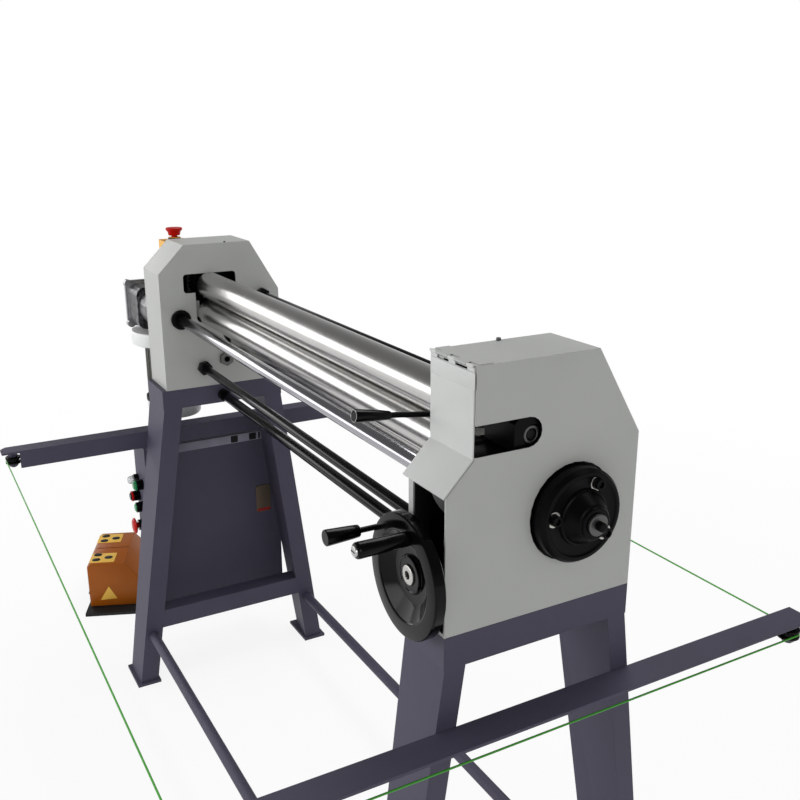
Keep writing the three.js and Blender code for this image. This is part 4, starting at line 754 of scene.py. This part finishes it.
def on_panel(profile, centre, steps=48):
    """Turns a profile of (radius, height above the panel) round a button's axis."""
    return turned([(radius, PANEL - height) for radius, height in profile], "y", centre, steps)


for name, centre, cap_finish, ring_finish, slot in BUTTONS:
    cap = on_panel([(0, 27.3), (9, 27.3), (11, 25), (11, 15.3), (8, 15.3), (8, -2), (0, -2)], centre)
    finished(cap, name + "_cap", cap_finish, nodes[name]["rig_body"], [name])
    ring = on_panel([(11.4, 24), (13.6, 24), (14.6, 22.6), (14.6, 19), (11.4, 19)], centre)
    finished(ring, name + "_ring", ring_finish, "frame")
    barrel = on_panel([(11.4, 18.9), (14.2, 18.9), (14.9, 8), (14.9, 0.2), (11.4, 0.2)], centre)
    finished(barrel, name + "_barrel", phenolic, "frame")

mushroom = on_panel(
    [(0, 27.3), (8, 27.2), (16, 26.2), (21, 23.6), (23, 21), (22.4, 18.5), (17, 16.4), (9, 15.4), (8, 15.3),
     (8, -2), (0, -2)],
    MUSHROOM, 64,
)
finished(mushroom, "panel_mushroom", red_plastic, "panel_stop_button", ["button_panel_stop"])
collar = on_panel([(8.6, 10.2), (15, 10.2), (15.5, 9), (15.5, 0.2), (8.6, 0.2)], MUSHROOM)
finished(collar, "panel_mushroom_collar", phenolic, "frame")
lens = on_panel(
    [(0, 30.3), (7, 29.4), (10.6, 26), (12, 20), (12, 10.3), (7, 10.3), (7, -2), (0, -2)], LAMP,
)
finished(lens, "lamp_lens", clear_lens, "frame", ["lamp_power"])
lamp_base = on_panel([(8, 13), (14, 13), (15, 11), (15, 0.2), (8, 0.2)], LAMP)
finished(lamp_base, "lamp_base", phenolic, "frame")

# %% [markdown]
# On top of the far housing's yellow box sits the emergency stop: a black collar and a wide red
# head with a shallow dome, made to be found without looking.

# %% Emergency stop
STOP = (-809.3, -53)
STOP_TOP = 1214


def on_stop_box(profile, steps):
    """Turns a profile of (radius, height above the yellow box) round the stop's axis."""
    return turned([(radius, STOP_TOP + height) for radius, height in profile], "z", STOP, steps)


head = on_stop_box(
    [(0, -20), (8, -20), (8, 13), (14.6, 13), (15.4, 14), (17, 22), (21.4, 27), (22, 29), (21.6, 31.6),
     (20, 32.8), (0, 33)],
    64,
)
finished(head, "estop_head_moulded", red_plastic, "estop_head", ["estop_button"])
stop_collar = on_stop_box([(8.6, 7.8), (15, 7.8), (16.6, 6.4), (16.6, 0.3), (8.6, 0.3)], 48)
finished(stop_collar, "estop_collar", phenolic, "frame")
for i, (x, y) in enumerate(((-839, -81), (-779, -81), (-839, -25), (-779, -25))):
    finished(rod(2.6, (STOP_TOP - 0.5, STOP_TOP + 0.9), "z", (x, y), 20, 0.3), f"estop_screw_{i + 1}", zinc,
             "frame")

# %% [markdown]
# The gear motor hangs behind the far housing. Its body is finned for cooling, with a white
# flange above and a white fan cover below. One fin is made and then turned round the axis.

# %% Motor
MOTOR = (-920, -55)
FINS = 40
FIN_SPAN = (763, 907)
FLANGE_LOW = 915
FLANGE_TOP = 955
core = turned(
    [(0, 761.3), (66, 761.3), (66, 904), (68, 909), (71, FLANGE_LOW), (0, FLANGE_LOW)], "z", MOTOR, 96,
)
for i in range(FINS):
    fin = block((64.5, 71), (-1.1, 1.1), FIN_SPAN, 0.3)
    core = joined(core, placed(fin, 2 * math.pi * i / FINS, "Z", (*MOTOR, 0)))
finished(core, "motor_finned_body", motor_paint, "frame", ["motor"])
flange = turned(
    [(20, FLANGE_LOW), (98, FLANGE_LOW), (103, 918), (105, 923), (105, 951), (103, 954.5), (98, FLANGE_TOP),
     (20, FLANGE_TOP)],
    "z", MOTOR, 96,
)
finished(flange, "motor_flange", fan_paint, "frame")
band = turned([(60, 749), (77, 749), (77, 761), (60, 761)], "z", MOTOR, 96, 0.8)
finished(band, "motor_band", rubber, "frame")
cover = turned(
    [(46, 702.7), (65, 702.7), (71, 704.5), (74, 709), (77, 748.7), (75, 748.7), (72, 711), (69.6, 706.3),
     (65, 704.7), (46, 704.7)],
    "z", MOTOR, 96,
)
finished(cover, "fan_cover_pressed", fan_paint, "frame", ["fan_cover"])
for i, middle in enumerate((12, 21, 30, 39)):
    inner, outer = middle - 1, middle + 1
    ring = turned([(inner, 703.2), (outer, 703.2), (outer, 704.4), (inner, 704.4)], "z", MOTOR, 64)
    finished(ring, f"fan_grille_ring_{i + 1}", fan_paint, "frame")
for i in range(4):
    bar = placed(block((0, 47), (-1.2, 1.2), (703, 704.2), 0), math.pi * i / 2, "Z", (*MOTOR, 0))
    finished(bar, f"fan_grille_bar_{i + 1}", fan_paint, "frame")
for i in range(4):
    x, y = arc(*MOTOR, 94, 45 + 90 * i, 45 + 90 * i, 1)[0]
    bolt = hexagon(13, (FIN_SPAN[1], FLANGE_LOW), "z", (x, y), 15 * i)
    finished(bolt, f"motor_bolt_{i + 1}", zinc, "frame")

# %% [markdown]
# The worm box is an aluminium casting: a square flange with an ear at each corner, held by cap
# screws, and ribs that stiffen the cover. The CAD casting stays, and the screws and ribs are added.

# %% Worm box screws and ribs
BOX_AXIS = (-96, 1027.2)
BOX_FACE = -967.6
for i, (u, v) in enumerate(((-56, -56), (56, -56), (56, 56), (-56, 56))):
    centre = (BOX_AXIS[0] + u, BOX_AXIS[1] + v)
    head = hexagon(13, (BOX_FACE - 6.4, BOX_FACE - 0.2), "x", centre, 10 * i)
    finished(head, f"box_bolt_{i + 1}", zinc, "frame")
for i in range(8):
    rib = block((BOX_FACE - 4.4, BOX_FACE), (-2.2, 2.2), (26, 54), 0.6)
    placed(rib, math.radians(22.5 + 45 * i), "X", (0, *BOX_AXIS))
    finished(rib, f"box_rib_{i + 1}", cast_aluminium, "frame")


# %% [markdown]
# The foot pedal is a sheet-metal hood over two sprung treadles. It stands askew on the floor. Its
# roof carries two yellow labels with dark ovals and its end a yellow triangle, all without words.

# %% Foot pedal
PEDAL_CORNER = (-1175, -308)
PEDAL_TURN = math.radians(-22.3)


def on_pedal(bm):
    """Turns a piece drawn from the pedal's front corner into its place on the floor."""
    return placed(bm, PEDAL_TURN, "Z", (*PEDAL_CORNER, 0))


HOOD_FOOT = 10.3
hood_line = [(0, HOOD_FOOT), (0, 150), (10, 160), (117, 160), (190, 75), (190, HOOD_FOOT)]
inner_line = [(4, HOOD_FOOT), (4, 148), (11, 155), (115, 155), (185, 73), (185, HOOD_FOOT)]
walls = (((-240, -231), 4.2), ((-122.5, -117.5), 1), ((-9, 0), 4.2))  # span along X, rounding
parts = [slab(hood_line, span, "x", ease) for span, ease in walls]
for (a, b), (c, d) in zip(zip(hood_line, hood_line[1:]), zip(inner_line, inner_line[1:])):
    if a[1] == HOOD_FOOT:
        continue
    parts.append(slab([a, b, d, c], (-235.6, -4.4), "x", 0.4))
finished(on_pedal(joined(*parts)), "pedal_hood_folded", orange_paint, "frame",
         ["pedal_hood"])
LABELS = (
    {"x": (-226, -160), "y": (4, 82), "ovals": ((-213, 26), (-176, 26), (-192, 62))},
    {"x": (-78, -11), "y": (6, 84), "ovals": ((-68, 25), (-32, 25), (-46, 62))},
)
for i, label in enumerate(LABELS):
    sheet = slab(rounded(label["x"], label["y"], 4), (160.1, 160.6), "z", 0.1)
    finished(on_pedal(sheet), f"pedal_label_{i + 1}", decal_yellow, "frame")
    for j, (x, y) in enumerate(label["ovals"]):
        oval = slab(rounded((x - 11, x + 11), (y - 13, y + 13), 10.9, 8), (160.5, 161), "z", 0.1)
        finished(on_pedal(oval), f"pedal_label_{i + 1}_oval_{j + 1}", rubber, "frame")
triangle = slab([(34, 33), (87, 36), (63, 80)], (0.1, 0.8), "x", 0.1)
finished(on_pedal(triangle), "pedal_end_label", decal_yellow, "frame")

# %% [markdown]
# Small things tell the eye how big the machine is: the screws on the roofs, the leaf of the flap's
# hinge, the plate on the cabinet with its red band and rivets, and the cabinet's cut-outs. The
# cut-outs are near-black sheets of painted shade, on a lighter strip of painted highlight along
# the cabinet's ledge.

# %% Small fittings
ROOF_SCREWS = {
    "near": {"at": (635, -12), "roof": 1226, "radius": 3.6, "rise": 4},
    "far": {"at": (-637, 26), "roof": 1222, "radius": 2.8, "rise": 3},
}
for end, screw in ROOF_SCREWS.items():
    span = (screw["roof"] - 1, screw["roof"] + screw["rise"])
    finished(rod(screw["radius"], span, "z", screw["at"], 24, 0.8), f"roof_screw_{end}", dull_steel, "frame")
leaf = slab([(633, -122.2), (741.6, -122.2), (741.6, -121.2), (633, -121.2)], (1194.5, 1217), "z", 0.2)
finished(leaf, "flap_hinge_leaf", flap_paint, "flap")
# a lighter strip with bright blotches stands for light along the ledge: painted highlight
ledge = slab(rounded((-100, 152), (630, 654), 2), (CABINET_FACE - 0.4, CABINET_FACE + 0.5), "x", 0.2)
finished(ledge, "cabinet_ledge_highlight", ledge_highlight_paint, "frame")
# the cut-outs are near-black sheets: painted shade
for i, (start, end) in enumerate(((59, 80), (114, 135), (142, 147))):
    cut = slab(rounded((start, end), (632, 652), 2), (CABINET_FACE + 0.4, CABINET_FACE + 0.8), "x", 0)
    finished(cut, f"cabinet_cutout_shade_{i + 1}", shade_and_rivet_black, "frame")
band = slab(rounded((128.5, 169.5), (404, 413), 2), (CABINET_FACE + 1.4, CABINET_FACE + 1.8), "x", 0)
finished(band, "plate_red_band", red_band, "frame")
for i, (y, z) in enumerate(((129.5, 405), (168.5, 405), (129.5, 482), (168.5, 482))):
    rivet = rod(1.6, (CABINET_FACE + 1, CABINET_FACE + 2.2), "x", (y, z), 16, 0.3)
    finished(rivet, f"plate_rivet_{i + 1}", shade_and_rivet_black, "frame")

# %% [markdown]
# The background is plain and white, as for a catalogue. The floor is an ordinary pale surface near
# the machine, so that it takes a soft shadow, and fades to plain white further out.


# %% Floor
def smooth_range(tree, value, start, end, low, high):
    """Goes from low to high, with soft ends, while the value goes from start to end."""
    node = tree.nodes.new("ShaderNodeMapRange")
    node.interpolation_type = "SMOOTHSTEP"
    for socket, number in (("From Min", start), ("From Max", end), ("To Min", low), ("To Max", high)):
        node.inputs[socket].default_value = number
    tree.links.new(value, node.inputs["Value"])
    return node.outputs["Result"]


def mixed(tree, share, first, second):
    """Mixes two shaders. The share is the second one's."""
    node = tree.nodes.new("ShaderNodeMixShader")
    tree.links.new(share, node.inputs["Fac"])
    tree.links.new(first, node.inputs[1])
    tree.links.new(second, node.inputs[2])
    return node.outputs["Shader"]


FLOOR_HALF = 30  # metres
floor = bmesh.new()
bmesh.ops.create_grid(floor, x_segments=1, y_segments=1, size=FLOOR_HALF)
floor_mesh = bpy.data.meshes.new("floor")
floor.to_mesh(floor_mesh)
floor.free()
floor_piece = bpy.data.objects.new("floor", floor_mesh)
bpy.context.scene.collection.objects.link(floor_piece)

floor_material = bpy.data.materials.new("pale studio floor")
floor_material.use_nodes = True
tree = floor_material.node_tree
surface = tree.nodes["Principled BSDF"]
surface.inputs["Base Color"].default_value = (0.9, 0.9, 0.9, 1)
surface.inputs["Roughness"].default_value = 0.9
surface.inputs["Specular IOR Level"].default_value = 0.0
glow = tree.nodes.new("ShaderNodeEmission")
glow.inputs["Strength"].default_value = 1.0
place = tree.nodes.new("ShaderNodeTexCoord")
distance = vector_node(tree, "LENGTH", place.outputs["Object"])
path = tree.nodes.new("ShaderNodeLightPath")
seen = math_node(tree, "MAXIMUM", path.outputs["Is Camera Ray"], path.outputs["Is Glossy Ray"])
share = math_node(tree, "MULTIPLY", seen, smooth_range(tree, distance, 1.0, 3.6, 0.86, 1.0))
shown = mixed(tree, share, surface.outputs["BSDF"], glow.outputs["Emission"])
tree.links.new(shown, tree.nodes["Material Output"].inputs["Surface"])
floor_mesh.materials.append(floor_material)

# %% [markdown]
# The world is white to the camera and through clear plastic. Polished metal sees a white horizon
# that falls off to mid grey overhead, as it would in a studio with a dark ceiling.

# %% World
world = bpy.data.worlds.new("studio")
bpy.context.scene.world = world
world.use_nodes = True
tree = world.node_tree
dim = tree.nodes["Background"]
dim.inputs["Color"].default_value = (1, 1, 1, 1)
dim.inputs["Strength"].default_value = 0.42
bright = tree.nodes.new("ShaderNodeBackground")
bright.inputs["Color"].default_value = (1, 1, 1, 1)
bright.inputs["Strength"].default_value = 1.0
mirrored = tree.nodes.new("ShaderNodeBackground")
place = tree.nodes.new("ShaderNodeTexCoord")
direction = tree.nodes.new("ShaderNodeSeparateXYZ")
tree.links.new(place.outputs["Generated"], direction.inputs["Vector"])
ceiling = smooth_range(tree, direction.outputs["Z"], 0.0, 0.5, 0.6, 0.24)
tree.links.new(ceiling, mirrored.inputs["Strength"])
path = tree.nodes.new("ShaderNodeLightPath")
seen = math_node(tree, "MAXIMUM", path.outputs["Is Camera Ray"], path.outputs["Is Transmission Ray"])
lit = mixed(tree, path.outputs["Is Glossy Ray"], dim.outputs["Background"], mirrored.outputs["Background"])
studio = mixed(tree, seen, lit, bright.outputs["Background"])
tree.links.new(studio, tree.nodes["World Output"].inputs["Surface"])

# %% [markdown]
# The light comes mostly from the operator's side. A very long soft box stands beyond the motor end
# and draws one broad white band along each roll. A front box makes the straps and the flap the
# brightest faces, and two weak boxes open up the roofs and the handwheel end.


# %% Lamps
def soft_box(name, place, target, size, power):
    lamp = bpy.data.lights.new(name, "AREA")
    lamp.shape = "RECTANGLE"
    lamp.size, lamp.size_y = size
    lamp.energy = power
    holder = bpy.data.objects.new(name, lamp)
    holder.location = place
    holder.rotation_euler = (Vector(target) - Vector(place)).to_track_quat("-Z", "Y").to_euler()
    bpy.context.scene.collection.objects.link(holder)


soft_box("long box", (-5.2, -3.4, 1.95), (0.2, 0, 1.0), (8.0, 2.0), 150)
soft_box("front box", (-0.2, -4.4, 2.1), (0.2, 0, 0.8), (2.6, 2.0), 76)
soft_box("overhead box", (-0.4, 1.5, 4.2), (0.0, 0, 1.0), (3.2, 1.2), 66)
soft_box("end box", (4.4, -0.6, 2.2), (1.0, 0, 0.9), (1.8, 1.8), 30)

# %% [markdown]
# The camera stands a little above head height at the handwheel end and looks down along the
# rolls. Its place was found by matching known corners of the machine to the photograph.

# %% Camera
AZIMUTH = math.radians(60.8)
DOWN = math.radians(16.7)
ROLL_ANGLE = math.radians(-0.1)
SENSOR = 36
FOCAL = 941.7 / 800  # focal length over the picture's width
camera_data = bpy.data.cameras.new("camera")
camera_data.sensor_width = SENSOR
camera_data.sensor_fit = "HORIZONTAL"
camera_data.lens = SENSOR * FOCAL
camera = bpy.data.objects.new("camera", camera_data)
camera.location = at(1696.2, -764.0, 1526.5)
level = math.cos(DOWN)
look = Vector((-math.sin(AZIMUTH) * level, math.cos(AZIMUTH) * level, -math.sin(DOWN)))
turn = look.to_track_quat("-Z", "Y").to_matrix() @ Matrix.Rotation(ROLL_ANGLE, 3, "Z")
camera.rotation_euler = turn.to_euler()
bpy.context.scene.collection.objects.link(camera)
bpy.context.scene.camera = camera
bpy.context.scene.view_settings.view_transform = "Standard"
